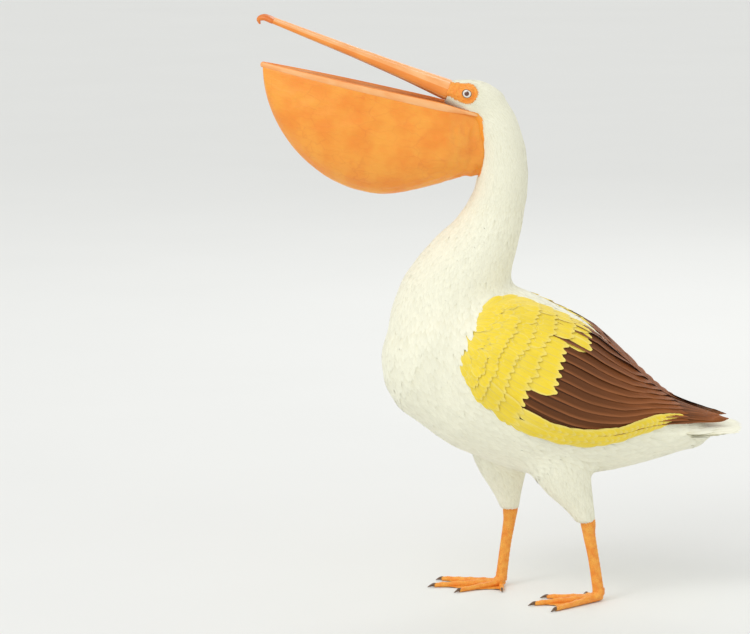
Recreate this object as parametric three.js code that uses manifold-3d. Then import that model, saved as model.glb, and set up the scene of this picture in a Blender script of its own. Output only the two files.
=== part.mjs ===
// An adult American white pelican at life size, standing in mid stride with its bill open and its pouch full.
// Millimetres, +Z up. The bird faces -X and its left side is -Y. Each named mesh is one closed solid.
import * as THREE from "three";
import { mergeVertices } from "three/addons/utils/BufferGeometryUtils.js";
import Module from "manifold-3d";

const wasm = await Module();
wasm.setup();

// ---- driving dimensions ----
const GAP = 0.3; // clearance between neighbouring pieces

const HEAD_PLACE = { x: -140, z: 876 }; // middle of the skull
const HEAD_TILT = 23; // degrees that the upper bill points above the horizon
const GAPE = 10; // degrees between the upper and the lower bill
const JAW_JOINT = { x: 14, z: -18 }; // from the middle of the skull, in the head's own frame

const BILL_ROOT = -52; // where the horn of the upper bill starts, in the head's frame
const BILL_LENGTH = 350;
const NAIL_LENGTH = 25; // hooked tip of the upper bill
const NAIL_DROP = 15;
const EYE_RADIUS = 11.5;
const EYE_PLACE = { x: -18, y: 22.2, z: 9 };

const JAW_LENGTH = 386; // jaw joint to the tip of the lower bill
const JAW_SPREAD = 40; // half the widest gap between its two rods
const POUCH_DEPTH = 172;
const POUCH_HALF_WIDTH = 60;
const POUCH_WALL = 3;

const WING_THICKNESS = 19;
const SHANK_TOP = 139;
const SHANK_FOOT = 17;
const LEG_SPACING = 60; // each leg's distance from the middle plane
const TOE_SINK = 1.4; // how far each toe's underside is flattened against the floor
const WEB = { low: 1, thick: 2.6 };

// ---- colours ----
const material = (color, roughness) =>
  new THREE.MeshStandardMaterial({ color, roughness, metalness: 0 });
const finish = {
  plumage: material(0xf3f0df, 0.9),
  coverts: material(0xeedb8a, 0.9),
  flight: material(0x3b2417, 0.75),
  face: material(0xf2a03c, 0.6),
  horn: material(0xf3ab62, 0.45),
  nail: material(0xe58a3a, 0.35),
  pouch: material(0xf7a23a, 0.5),
  leg: material(0xf29a38, 0.6),
  claw: material(0x4a3826, 0.4),
  eye: material(0xf2efe4, 0.08),
};

// ---- solids ----
const Y_AXIS = new THREE.Vector3(0, 1, 0);
const Z_AXIS = new THREE.Vector3(0, 0, 1);

function solidOf(geometry) {
  const bare = geometry.clone();
  bare.deleteAttribute("normal");
  bare.deleteAttribute("uv");
  const merged = mergeVertices(bare, 1e-3);
  return new wasm.Manifold(
    new wasm.Mesh({
      numProp: 3,
      vertProperties: merged.attributes.position.array,
      triVerts: new Uint32Array(merged.index.array),
    }),
  );
}

function geometryOf(solid) {
  const { numProp, numVert, triVerts, vertProperties } = solid.getMesh();
  const positions = new Float32Array(numVert * 3);
  for (let i = 0; i < numVert; i++)
    positions.set(vertProperties.subarray(i * numProp, i * numProp + 3), i * 3);
  const geometry = new THREE.BufferGeometry();
  geometry.setAttribute("position", new THREE.BufferAttribute(positions, 3));
  geometry.setIndex(new THREE.BufferAttribute(new Uint32Array(triVerts), 1));
  geometry.computeVertexNormals();
  return geometry;
}

// Closes a grid of points: rows[j][i], each row a ring, with a single point before the first and after the last.
function closedTube(firstPole, rows, lastPole) {
  const positions = [firstPole, ...rows.flat(), lastPole].flatMap((p) => [p.x, p.y, p.z]);
  const sides = rows[0].length;
  const at = (j, i) => 1 + j * sides + (i % sides);
  const last = 1 + rows.length * sides;
  const index = [];
  for (let i = 0; i < sides; i++) {
    index.push(0, at(0, i + 1), at(0, i));
    for (let j = 0; j + 1 < rows.length; j++) {
      index.push(at(j, i), at(j, i + 1), at(j + 1, i));
      index.push(at(j, i + 1), at(j + 1, i + 1), at(j + 1, i));
    }
    index.push(last, at(rows.length - 1, i), at(rows.length - 1, i + 1));
  }
  const geometry = new THREE.BufferGeometry();
  geometry.setAttribute("position", new THREE.Float32BufferAttribute(positions, 3));
  geometry.setIndex(index);
  return geometry;
}

const ellipse = (angle) => [Math.cos(angle), Math.sin(angle)];

// A roof-shaped section with a flat underside: the upper bill's ridge and its broad palate.
function roofed(angle) {
  const [out, up] = ellipse(angle);
  return [Math.sign(out) * Math.abs(out) ** 0.8, up > 0 ? up ** 1.5 : -((-up) ** 0.7)];
}

// A limb or body of changing section. Each station has a place (x, y, z) and its half sizes: high along the
// back-to-belly direction, and wide from side to side. Caps are rounded ends of the given lengths.
class Envelope {
  constructor(stations, { section = ellipse, level = false, frontCap = 0, rearCap = 0 } = {}) {
    const curve = (points) => new THREE.CatmullRomCurve3(points, false, "centripetal");
    this.line = curve(stations.map(({ x, y = 0, z }) => new THREE.Vector3(x, y, z)));
    this.sizes = curve(stations.map(({ high, wide }) => new THREE.Vector3(high, wide, 0)));
    Object.assign(this, { section, level, frontCap, rearCap });
  }

  point(t, angle, grow = 0, scale = 1, slide = 0) {
    const along = this.line.getTangent(t);
    const side = this.level ? Z_AXIS.clone().cross(along).normalize() : Y_AXIS;
    const up = along.clone().cross(side);
    const { x: high, y: wide } = this.sizes.getPoint(t);
    const [out, rise] = this.section(angle);
    return this.line
      .getPoint(t)
      .addScaledVector(along, slide)
      .addScaledVector(side, out * (wide + grow) * scale)
      .addScaledVector(up, rise * (high + grow) * scale);
  }

  ring(t, sides, ...more) {
    return Array.from({ length: sides }, (_, i) => this.point(t, (2 * Math.PI * i) / sides, ...more));
  }

  solid({ rings, sides, grow = 0, from = 0, to = 1, capRings = 5 }) {
    const rows = [];
    const front = this.frontCap ? this.frontCap + grow : grow;
    const rear = this.rearCap ? this.rearCap + grow : grow;
    const bend = (k) => (k / capRings) * (Math.PI / 2);
    for (let k = 1; this.frontCap && k < capRings; k++)
      rows.push(this.ring(from, sides, grow, Math.sin(bend(k)), -front * Math.cos(bend(k))));
    for (let j = 0; j <= rings; j++) {
      const slide = (j === 0 && !this.frontCap ? -front : 0) + (j === rings && !this.rearCap ? rear : 0);
      rows.push(this.ring(from + ((to - from) * j) / rings, sides, grow, 1, slide));
    }
    for (let k = capRings - 1; this.rearCap && k > 0; k--)
      rows.push(this.ring(to, sides, grow, Math.sin(bend(k)), rear * Math.cos(bend(k))));
    return solidOf(closedTube(this.point(from, 0, 0, 0, -front), rows, this.point(to, 0, 0, 0, rear)));
  }
}

function box(lowest, highest) {
  const low = new THREE.Vector3(...lowest);
  const high = new THREE.Vector3(...highest);
  const size = high.clone().sub(low);
  const middle = low.add(high).multiplyScalar(0.5);
  const block = new THREE.BoxGeometry(size.x, size.y, size.z);
  return solidOf(block.translate(middle.x, middle.y, middle.z));
}

// ---- trunk, tail and wings ----
// From breast to tail. The last station only carries the folded wings' tips over the tail.
const bodyStations = [
  { x: -186, z: 436, high: 138, wide: 116 }, // breast
  { x: -116, z: 408, high: 155, wide: 134 }, // shoulders
  { x: -4, z: 356, high: 148, wide: 136 }, // middle
  { x: 92, z: 321, high: 109, wide: 111 }, // loin
  { x: 165, z: 304, high: 70, wide: 80 },
  { x: 235, z: 297, high: 37, wide: 60 }, // rump
  { x: 305, z: 294, high: 20, wide: 46 },
];
const body = new Envelope(bodyStations, { frontCap: 116, rearCap: 44 });
const RUMP = 5 / (bodyStations.length - 1); // where the trunk ends along the body
const trunkSolid = (grow = 0) => body.solid({ rings: 10, sides: 22, to: RUMP, grow, capRings: 4 });

const tailStations = [
  { x: 160, z: 299, high: 46, wide: 58 },
  { x: 210, z: 296, high: 29, wide: 60 }, // root of the fan
  { x: 260, z: 297, high: 13, wide: 72 },
  { x: 308, z: 302, high: 4, wide: 74 },
];
const tail = new Envelope(tailStations, { rearCap: 24 });
const tailSolid = (grow = 0) => tail.solid({ rings: 5, sides: 16, capRings: 3, grow });

// The folded wing is a curved plate on the body: at each place along it, the angles of its two edges.
const wingEdges = [
  { low: 6, high: 40 }, // wrist
  { low: -14, high: 64 },
  { low: -22, high: 74 },
  { low: -23, high: 78 },
  { low: -15, high: 80 },
  { low: 5, high: 80 },
  { low: 29, high: 77 },
  { low: 50, high: 66 }, // tips of the longest feathers
];
const WING_START = 0.015;
const WING_END = 0.93;
const wingAngles = new THREE.CatmullRomCurve3(
  wingEdges.map(({ low, high }) => new THREE.Vector3(low, high, 0)),
  false,
  "centripetal",
);

function wingPoint(along, across, side, skin) {
  const { x: low, y: high } = wingAngles.getPoint(along);
  const angle = THREE.MathUtils.degToRad(low + (high - low) * across);
  const domed = Math.sqrt(Math.max(0, 1 - (2 * across - 1) ** 4));
  const ends = Math.min(1, along / 0.18) ** 0.5 * (1 - 0.8 * along ** 3);
  const rise = skin ? -8 : 2.5 + (WING_THICKNESS - 2.5) * domed * ends;
  const place = body.point(WING_START + (WING_END - WING_START) * along, angle, rise);
  return place.setY(place.y * side);
}

// A ring round the plate at each place along it: over the outside from the lower edge, and back along the skin.
function wingSolid(side) {
  const lengthSteps = 16;
  const widthSteps = 7;
  const rows = [];
  for (let j = 0; j <= lengthSteps; j++) {
    const along = (j / lengthSteps) ** 1.3; // closer together round the wrist
    const ring = [];
    for (let i = 0; i <= widthSteps; i++) ring.push(wingPoint(along, i / widthSteps, side, false));
    for (let i = widthSteps; i >= 0; i--) ring.push(wingPoint(along, i / widthSteps, side, true));
    rows.push(side > 0 ? ring : ring.reverse());
  }
  const middle = (along) =>
    wingPoint(along, 0.5, side, false).lerp(wingPoint(along, 0.5, side, true), 0.5);
  return solidOf(closedTube(middle(0), rows, middle(1)));
}

// The half-space behind and below a slanting line across the wing, where the dark flight feathers lie bare.
function behindCoverts(grow) {
  const block = new THREE.BoxGeometry(600, 600, 600).translate(300 - grow, 0, 0);
  return solidOf(block.rotateY(THREE.MathUtils.degToRad(42)).translate(-28, 0, 385));
}

// ---- neck and head ----
const neckStations = [
  { x: -112, z: 860, high: 38, wide: 34 }, // behind the skull
  { x: -92, z: 790, high: 43, wide: 38 },
  { x: -94, z: 714, high: 48, wide: 43 },
  { x: -120, z: 642, high: 62, wide: 55 },
  { x: -156, z: 574, high: 88, wide: 76 },
  { x: -184, z: 490, high: 109, wide: 93 },
  { x: -180, z: 415, high: 104, wide: 98 }, // inside the breast
];
const neck = new Envelope(neckStations, { frontCap: 26 });
const neckSolid = (grow = 0) => neck.solid({ rings: 12, sides: 18, capRings: 3, grow });
const NECK_CUT = 700; // height of the thin cut between its two lengths

const headStations = [
  { x: BILL_ROOT, z: -3, high: 21, wide: 24 }, // edge of the bill
  { x: -28, z: 0, high: 29, wide: 29 },
  { x: 4, z: 3, high: 36, wide: 33 }, // crown
  { x: 32, z: 0, high: 34, wide: 31 }, // nape
];
const head = new Envelope(headStations, { rearCap: 30 });
const headLocal = (grow = 0) =>
  head.solid({ rings: 7, sides: 18, capRings: 4, grow }).intersect(box([BILL_ROOT - grow, -90, -90], [90, 90, 90]));
const headPose = new THREE.Matrix4()
  .makeRotationY(THREE.MathUtils.degToRad(HEAD_TILT))
  .setPosition(HEAD_PLACE.x, 0, HEAD_PLACE.z);
const jawPose = new THREE.Matrix4()
  .makeRotationY(THREE.MathUtils.degToRad(-GAPE))
  .setPosition(JAW_JOINT.x, 0, JAW_JOINT.z);
const moved = (solid, matrix) => solidOf(geometryOf(solid).applyMatrix4(matrix));
const headInBody = (grow) => moved(headLocal(grow), headPose);
const intoHead = headPose.clone().invert();
const intoJaw = headPose.clone().multiply(jawPose).invert();

function eyeBall(side, grow = 0) {
  const ball = new THREE.SphereGeometry(EYE_RADIUS + grow, 12, 8);
  return solidOf(ball.translate(EYE_PLACE.x, EYE_PLACE.y * side, EYE_PLACE.z));
}

// ---- bill and pouch ----
const upperStations = [
  { share: 1 - NAIL_LENGTH / BILL_LENGTH, z: -8, high: 5.5, wide: 15 },
  { share: 0.8, z: -7, high: 6.5, wide: 14.5 },
  { share: 0.5, z: -4, high: 9, wide: 14 },
  { share: 0.22, z: -2, high: 13, wide: 18 },
  { share: GAP / BILL_LENGTH, z: -1, high: 18, wide: 23 }, // root
].map((station) => ({ ...station, x: BILL_ROOT - station.share * BILL_LENGTH }));
const upperBill = new Envelope(upperStations, { section: roofed });

const nailTip = BILL_ROOT - BILL_LENGTH;
const nail = new Envelope(
  [
    { x: nailTip + 6, z: -7 - NAIL_DROP, high: 1.4, wide: 2 }, // point of the hook
    { x: nailTip + 1.5, z: -15, high: 4, wide: 5 },
    { x: nailTip + 8, z: -9, high: 5.5, wide: 9 },
    { x: nailTip + NAIL_LENGTH - GAP, z: -8, high: 5.5, wide: 14 },
  ],
  { section: roofed },
);

// Half the gap between the jaw's rods: 0 is the tip of the bill, 1 the jaw joint.
function jawHalf(share) {
  const opening = Math.sin(Math.PI * Math.min(0.5, share)) ** 0.8;
  return JAW_SPREAD * opening - 10 * Math.max(0, share - 0.5) ** 2 * 4;
}

// The two rods of the lower bill, one bow from the left jaw joint round the tip to the right one.
function jawBow() {
  const half = [1.01, 0.8, 0.6, 0.4, 0.22, 0.1, 0.03].map((share) => ({
    x: -JAW_LENGTH * (1 - share),
    y: -jawHalf(share),
    z: 0,
    high: 5 + 4 * share,
    wide: 3.6,
  }));
  const tip = { x: -JAW_LENGTH + 2, y: 0, z: 0, high: 5, wide: 4.5 };
  const mirrored = half.map((station) => ({ ...station, y: -station.y })).reverse();
  return new Envelope([...half, tip, ...mirrored], { level: true });
}

// The full pouch below the jaw. Along it, 0 is the tip of the bill and 1 is inside the throat.
const POUCH_RIM = 8.7; // hangs this far below the middle of the rods at the joint, and less at the tip
const POUCH_REACH = 26; // how far it runs on behind the jaw joint
const SAG = Math.tan(THREE.MathUtils.degToRad(HEAD_TILT - GAPE)); // it hangs plumb from the tilted jaw

function pouchPoint(along, round, wall) {
  const x = -JAW_LENGTH + 3 + wall + (JAW_LENGTH - 3 - wall + POUCH_REACH) * along;
  const share = (x + JAW_LENGTH) / JAW_LENGTH;
  const front = Math.sqrt(Math.max(0, 1 - (1 - Math.min(1, along / 0.42)) ** 2));
  const throat = 1 - 0.42 * THREE.MathUtils.smoothstep(along, 0.45, 1);
  const tuck = 1 - 0.3 * THREE.MathUtils.smoothstep(along, 0.8, 1);
  const depth = Math.max(4, POUCH_DEPTH * front * throat - wall);
  const rim = (jawHalf(Math.min(1, share)) + 3.4) * tuck;
  const swell = (POUCH_HALF_WIDTH - JAW_SPREAD) * front * tuck ** 2;
  const half = Math.max(1.6, rim + swell * Math.sin(2 * Math.min(round, Math.PI - round)) - wall);
  const top = -(POUCH_RIM - 4 * Math.max(0, 1 - share) + GAP);
  const drop = Math.sin(round) ** 0.8;
  return new THREE.Vector3(x + SAG * depth * drop, half * Math.cos(round), top - depth * drop);
}

function pouchBlock(wall, lift) {
  const lengthSteps = 13;
  const roundSteps = 11;
  const rows = [];
  for (let j = 0; j <= lengthSteps; j++) {
    const along = (j / lengthSteps) ** 1.35;
    const ring = [];
    for (let i = 0; i <= roundSteps; i++)
      ring.push(pouchPoint(along, (Math.PI * i) / roundSteps, wall));
    const [first, last] = [ring[0], ring[roundSteps]];
    if (lift) ring.push(last.clone().setZ(last.z + lift), first.clone().setZ(first.z + lift));
    rows.push(ring.reverse());
  }
  const middle = (ring) => ring.reduce((sum, p) => sum.add(p), new THREE.Vector3()).divideScalar(ring.length);
  return solidOf(closedTube(middle(rows[0]), rows, middle(rows[lengthSteps])));
}

// ---- legs and feet ----
// Each leg in its own frame: the origin is on the floor under the foot joint.
const legs = {
  left: { side: -1, x: 80, lean: -20, hip: -66, yaw: 18 }, // trailing
  right: { side: 1, x: -88, lean: 16, hip: -22, yaw: 6 }, // leading
};
const toes = [
  { name: "outer", length: 112, turn: 27, root: 7.5 },
  { name: "middle", length: 120, turn: 0, root: 7.5 },
  { name: "inner", length: 92, turn: -29, root: 7 },
  { name: "hind", length: 46, turn: -84, root: 5.5 },
];
const CLAW_LENGTH = 13;
const toeEnd = ({ length, turn }, side, extra = 0) => {
  const angle = THREE.MathUtils.degToRad(turn);
  return new THREE.Vector2(-Math.cos(angle), Math.sin(angle) * side).multiplyScalar(length + extra);
};

function toeSolid(toe, side) {
  const stations = [0, 0.4, 0.75, 1].map((share) => {
    const { x, y } = toeEnd({ ...toe, length: toe.length * share }, side);
    const half = toe.root * (1 - 0.42 * share);
    return { x, y, z: half - TOE_SINK, high: half, wide: half };
  });
  return new Envelope(stations, { level: true, frontCap: 6 }).solid({ rings: 3, sides: 8, capRings: 2 });
}

function clawSolid(toe, side) {
  const root = toe.root * 0.5;
  const stations = [
    { extra: GAP, z: 4.1, half: root * 0.9 },
    { extra: 0.55 * CLAW_LENGTH, z: 4.3, half: root * 0.62 },
    { extra: CLAW_LENGTH, z: 1.6, half: 0.8 },
  ].map(({ extra, z, half }) => {
    const { x, y } = toeEnd(toe, side, extra);
    return { x, y, z, high: half, wide: half * 0.8 };
  });
  return new Envelope(stations, { level: true }).solid({ rings: 3, sides: 6 });
}

function webSolid(side) {
  const tips = toes.map((toe) => toeEnd(toe, side, -4));
  const shape = new THREE.Shape();
  shape.moveTo(10, 5 * side);
  shape.lineTo(tips[0].x, tips[0].y);
  for (let i = 1; i < tips.length; i++) {
    const inward = tips[i - 1].clone().add(tips[i]).multiplyScalar(i < 3 ? 0.42 : 0.36);
    shape.quadraticCurveTo(inward.x, inward.y, tips[i].x, tips[i].y);
  }
  shape.closePath();
  const plate = new THREE.ExtrudeGeometry(shape, {
    depth: WEB.thick,
    bevelEnabled: false,
    curveSegments: 3,
  });
  return solidOf(plate.translate(0, 0, WEB.low));
}

function footSolid(side) {
  const ankle = new Envelope(
    [
      { x: -10, z: 6, high: 9, wide: 11 },
      { x: -1, z: 10, high: 10, wide: 9.5 },
      { x: 0, z: SHANK_FOOT - GAP, high: 10, wide: 8.5 },
    ].reverse(),
  ).solid({ rings: 3, sides: 10 });
  const toePieces = toes.map((toe) => toeSolid(toe, side));
  const whole = toePieces.reduce((sum, toe) => sum.add(toe), ankle).add(webSolid(side));
  return whole.intersect(box([-300, -300, 0], [300, 300, SHANK_FOOT - GAP]));
}

const shank = ({ lean }) =>
  new Envelope([
    { x: lean, z: SHANK_TOP + 4, high: 12.5, wide: 10.5 }, // hock
    { x: lean * 0.9, z: SHANK_TOP - 16, high: 11.5, wide: 8.5 },
    { x: lean * 0.5, z: 0.5 * (SHANK_TOP + SHANK_FOOT), high: 10, wide: 7.4 },
    { x: lean * 0.12, z: SHANK_FOOT + 12, high: 10, wide: 8 },
    { x: 0, z: SHANK_FOOT - 4, high: 10.5, wide: 8.8 },
  ]);

// The feathered part of the leg, from inside the belly down to the hock.
const thigh = ({ lean, hip }) =>
  new Envelope([
    { x: lean + hip, z: 285, high: 62, wide: 46 },
    { x: lean + hip * 0.62, z: 225, high: 50, wide: 40 },
    { x: lean + hip * 0.22, z: 172, high: 27, wide: 24 },
    { x: lean, z: SHANK_TOP - 5, high: 16, wide: 14 },
  ]);

// ---- assembly ----
const pelican = new THREE.Group();

function addMesh(group, name, solid, look) {
  const mesh = new THREE.Mesh(geometryOf(solid), look);
  mesh.name = name;
  group.add(mesh);
  return mesh;
}

const cutHalf = (low) => box([-900, -900, low], [900, 900, 1200]);
const trunkCutter = trunkSolid(GAP);
const tailCutter = tailSolid(GAP);
const neckCutter = neckSolid(GAP);
const sides = { left: -1, right: 1 };

addMesh(pelican, "trunk", trunkSolid(), finish.plumage);
addMesh(pelican, "tail", tailSolid().subtract(trunkCutter), finish.plumage);

const wholeNeck = neckSolid().subtract(trunkCutter).subtract(headInBody(GAP));
addMesh(pelican, "neck_upper", wholeNeck.intersect(cutHalf(NECK_CUT + GAP)), finish.plumage);
addMesh(pelican, "neck_lower", wholeNeck.subtract(cutHalf(NECK_CUT)), finish.plumage);

for (const [name, side] of Object.entries(sides)) {
  const wing = wingSolid(side).subtract(trunkCutter).subtract(neckCutter).subtract(tailCutter);
  addMesh(pelican, `wing_${name}`, wing.subtract(behindCoverts(GAP)), finish.coverts);
  addMesh(pelican, `flight_feathers_${name}`, wing.intersect(behindCoverts(0)), finish.flight);
}

for (const [name, leg] of Object.entries(legs)) {
  const limb = new THREE.Group();
  limb.position.set(leg.x, LEG_SPACING * leg.side, 0);
  pelican.add(limb);
  const trunkHere = moved(trunkCutter, new THREE.Matrix4().makeTranslation(limb.position.clone().negate()));
  const thighSolid = thigh(leg).solid({ rings: 7, sides: 16 }).subtract(trunkHere);
  const aboveHock = box([-200, -200, SHANK_TOP + GAP], [200, 200, 400]);
  const belowHock = box([-200, -200, SHANK_FOOT], [200, 200, SHANK_TOP]);
  addMesh(limb, `thigh_${name}`, thighSolid.intersect(aboveHock), finish.plumage);
  const shankSolid = shank(leg).solid({ rings: 7, sides: 10 }).intersect(belowHock);
  addMesh(limb, `shank_${name}`, shankSolid, finish.leg);
  const foot = new THREE.Group();
  foot.rotation.z = THREE.MathUtils.degToRad(leg.yaw);
  limb.add(foot);
  addMesh(foot, `foot_${name}`, footSolid(leg.side), finish.leg);
  for (const toe of toes)
    addMesh(foot, `claw_${name}_${toe.name}`, clawSolid(toe, leg.side), finish.claw);
}

const skull = new THREE.Group();
skull.applyMatrix4(headPose);
pelican.add(skull);
const sockets = eyeBall(-1, GAP).add(eyeBall(1, GAP));
addMesh(skull, "head", headLocal().subtract(sockets), finish.plumage);
for (const [name, side] of Object.entries(sides))
  addMesh(skull, `eye_${name}`, eyeBall(side), finish.eye);
const beforeHead = box([-600, -90, -90], [BILL_ROOT - GAP, 90, 90]);
const upper = upperBill.solid({ rings: 12, sides: 16 }).intersect(beforeHead);
addMesh(skull, "bill_upper", upper, finish.horn);
addMesh(skull, "bill_nail", nail.solid({ rings: 6, sides: 12 }), finish.nail);

const jaw = new THREE.Group();
jaw.applyMatrix4(jawPose);
skull.add(jaw);
const headInJaw = moved(headInBody(GAP), intoJaw);
const neckInJaw = moved(neckCutter, intoJaw);
const bow = jawBow().solid({ rings: 32, sides: 8 }).subtract(headInJaw).subtract(neckInJaw);
addMesh(jaw, "bill_lower", bow, finish.horn);
const pouchShell = pouchBlock(0, 0).subtract(pouchBlock(POUCH_WALL, 30));
addMesh(jaw, "pouch", pouchShell.subtract(headInJaw).subtract(neckInJaw), finish.pouch);

// The origin is on the floor, under the middle of the whole bird's box.
pelican.updateMatrixWorld(true);
const middle = new THREE.Box3().setFromObject(pelican, true).getCenter(new THREE.Vector3());
pelican.position.set(-middle.x, -middle.y, 0);

export default pelican;
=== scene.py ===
# The looks of an adult American white pelican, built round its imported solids. Metres, +Z up; it faces -X.
import math

import bmesh
import bpy
import numpy as np
from mathutils import Matrix, Vector
from mathutils.bvhtree import BVHTree
from mathutils.kdtree import KDTree


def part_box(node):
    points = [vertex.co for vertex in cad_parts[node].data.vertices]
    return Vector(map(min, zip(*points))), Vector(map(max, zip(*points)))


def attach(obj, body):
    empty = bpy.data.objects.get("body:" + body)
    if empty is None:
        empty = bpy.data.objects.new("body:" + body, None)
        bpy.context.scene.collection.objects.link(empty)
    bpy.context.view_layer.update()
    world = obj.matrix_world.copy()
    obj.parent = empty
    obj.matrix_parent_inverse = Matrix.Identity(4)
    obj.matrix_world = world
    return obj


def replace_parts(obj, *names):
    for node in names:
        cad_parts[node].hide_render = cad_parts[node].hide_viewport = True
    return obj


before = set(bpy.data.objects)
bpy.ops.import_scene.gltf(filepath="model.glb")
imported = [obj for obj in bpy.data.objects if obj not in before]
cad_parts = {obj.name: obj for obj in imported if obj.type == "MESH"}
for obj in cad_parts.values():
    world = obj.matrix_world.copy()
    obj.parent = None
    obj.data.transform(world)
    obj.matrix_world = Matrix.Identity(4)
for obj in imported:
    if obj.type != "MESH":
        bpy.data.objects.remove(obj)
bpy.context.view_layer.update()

MM = 0.001
SIDES = {"left": -1, "right": 1}
rng = np.random.default_rng(20)

# ---- driving sizes, in millimetres where no unit is given; those of the solids are part.mjs's too ----
HEAD_X = -140  # middle of the skull in the design's own frame, which has the legs either side of 0
HEAD_TILT = math.radians(23)  # the upper bill above the horizon
GAPE = math.radians(10)
JAW_TILT = HEAD_TILT - GAPE
EYE_IN_HEAD = (-18, 22.2, 9)
JAW_JOINT = (14, 0, -18)
BILL_ROOT = -52
BILL_LENGTH = 350
NAIL_LENGTH = 25
JAW_LENGTH = 386
JAW_SPREAD = 40
POUCH_DEPTH = 170  # 2 less than the solid's, and so is its width
POUCH_HALF_WIDTH = 59
POUCH_REACH = 26  # how far it runs on behind the jaw joint
EYE_OPENING = 8.1  # half of it, between the lids
WING_SHARES = (0.015, 0.93)  # the wrist's and the tip's places along the body's outline
WING_RISE = (2.5, 19)  # how far a folded wing stands out from the body, at its edges and in its middle
SHANK_TOP = 139
SHANK_FOOT = 17
LEG_SPACING = 60
COVERT_LINE = (-28, 385)  # the greater coverts' tips lie on a line through this place
COVERT_SLANT = math.radians(42)

# How deep the skin lies inside the outline of each feathered node.
COAT_DEPTH = {
    "trunk": 5.5, "neck_lower": 4.2, "neck_upper": 2.6, "head": 1.6,
    "tail": 8, "thigh": 3.8, "wing": 7, "flight": 4.5,
}  # fmt: skip


# ---- small tools ----
def srgb(code):
    """A colour written as on a paint chart, as the linear values that a shader takes."""
    values = np.array([int(code[i : i + 2], 16) for i in (0, 2, 4)]) / 255
    linear = np.where(values <= 0.04045, values / 12.92, ((values + 0.055) / 1.055) ** 2.4)
    return (*linear, 1.0)


def unit(vectors):
    return vectors / np.maximum(np.linalg.norm(vectors, axis=-1, keepdims=True), 1e-9)


def dot(a, b):
    return np.sum(a * b, axis=-1, keepdims=True)


def placed(matrix, points):
    m = np.array(matrix)
    return points @ m[:3, :3].T + m[:3, 3]


def within(matrix, points):
    """The x, y and z of points in a frame's own millimetres."""
    return (placed(matrix.inverted(), points) / MM).T


def smoothstep(low, high, values):
    t = np.clip((values - low) / (high - low), 0, 1)
    return t * t * (3 - 2 * t)


def bell(values, width):
    """1 where the values are 0, and almost nothing two widths away."""
    return np.exp(-((values / width) ** 2))


def full_turn(sides):
    return np.linspace(0, math.tau, sides, endpoint=False)


def smooth_curve(stations):
    """The centripetal Catmull-Rom curve through the stations, as a function of shares from 0 to 1."""
    knots = np.array(stations, float)
    knots = np.vstack([2 * knots[0] - knots[1], knots, 2 * knots[-1] - knots[-2]])
    gaps = np.sqrt(np.linalg.norm(np.diff(knots, axis=0), axis=1))[:, None]
    spans = len(stations) - 1

    def at(shares):
        place = np.clip(np.asarray(shares, float), 0, 1) * spans
        k = np.minimum(place.astype(int), spans - 1)
        f = (place - k)[..., None]
        p0, p1, p2, p3 = (knots[k + i] for i in range(4))
        g0, g1, g2 = (gaps[k + i] for i in range(3))
        start = g1 * ((p1 - p0) / g0 - (p2 - p0) / (g0 + g1)) + p2 - p1
        end = g1 * ((p3 - p2) / g2 - (p3 - p1) / (g1 + g2)) + p2 - p1
        return p1 + f * (start + f * (3 * (p2 - p1) - 2 * start - end + f * (2 * (p1 - p2) + start + end)))

    return at


def across_line(line, shares):
    """Directions across a curve in a plane, a quarter turn from the way that it runs."""
    step = 1e-4
    way = unit(line(shares + step) - line(shares - step))
    return np.stack([-way[..., 1], way[..., 0]], -1)


class Envelope:
    """A limb of changing section. Each station has x, z and its half sizes, high and wide."""

    def __init__(self, stations):
        self.line = smooth_curve([(x, z) for x, z, _, _ in stations])
        self.sizes = smooth_curve([(high, wide) for _, _, high, wide in stations])

    def frame_at(self, shares):
        """The middle line's places, the directions up across it, and the half sizes there."""
        shares = np.asarray(shares, float)
        return self.line(shares), across_line(self.line, shares), self.sizes(shares)

    def point(self, shares, angles, grow=0.0):
        """Places on the outline, in millimetres: angles are 0 at the side and a quarter turn on top."""
        place, up, size = self.frame_at(shares)
        out = np.cos(angles) * (size[..., 1] + grow)
        rise = np.sin(angles) * (size[..., 0] + grow)
        x = place[..., 0] + up[..., 0] * rise
        return np.stack([x, out, place[..., 1] + up[..., 1] * rise], -1)


def middle_of(node):
    low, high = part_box(node)
    return (low + high) / 2


eyes = {name: middle_of(f"eye_{name}") for name in SIDES}
eye_low, eye_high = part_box("eye_left")
EYE_RADIUS = (eye_high.x - eye_low.x) / 2
head_turn = Matrix.Rotation(HEAD_TILT, 4, "Y")
eye_step = head_turn @ Vector((EYE_IN_HEAD[0] * MM, 0, EYE_IN_HEAD[2] * MM))
HEAD = Matrix.Translation((eyes["left"] + eyes["right"]) / 2 - eye_step) @ head_turn
JAW = HEAD @ Matrix.Translation(Vector(JAW_JOINT) * MM) @ Matrix.Rotation(-GAPE, 4, "Y")
DESIGN = Matrix.Translation((HEAD.translation.x - HEAD_X * MM, 0, 0))

BODY = Envelope([  # the trunk's outline
    (-186, 436, 138, 116), (-116, 408, 155, 134), (-4, 356, 148, 136), (92, 321, 109, 111),
    (165, 304, 70, 80), (235, 297, 37, 60), (305, 294, 20, 46),
])  # fmt: skip


def in_design(points):
    """Millimetres in the design's own frame, as metres in the row's frame."""
    return placed(DESIGN, np.asarray(points, float) * MM)


# ---- meshes from arrays ----
def shown(mesh):
    """A new object with the mesh, which rides on the row's one body."""
    mesh.shade_smooth()
    piece = bpy.data.objects.new(mesh.name, mesh)
    bpy.context.scene.collection.objects.link(piece)
    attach(piece, "root")
    return piece


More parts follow.
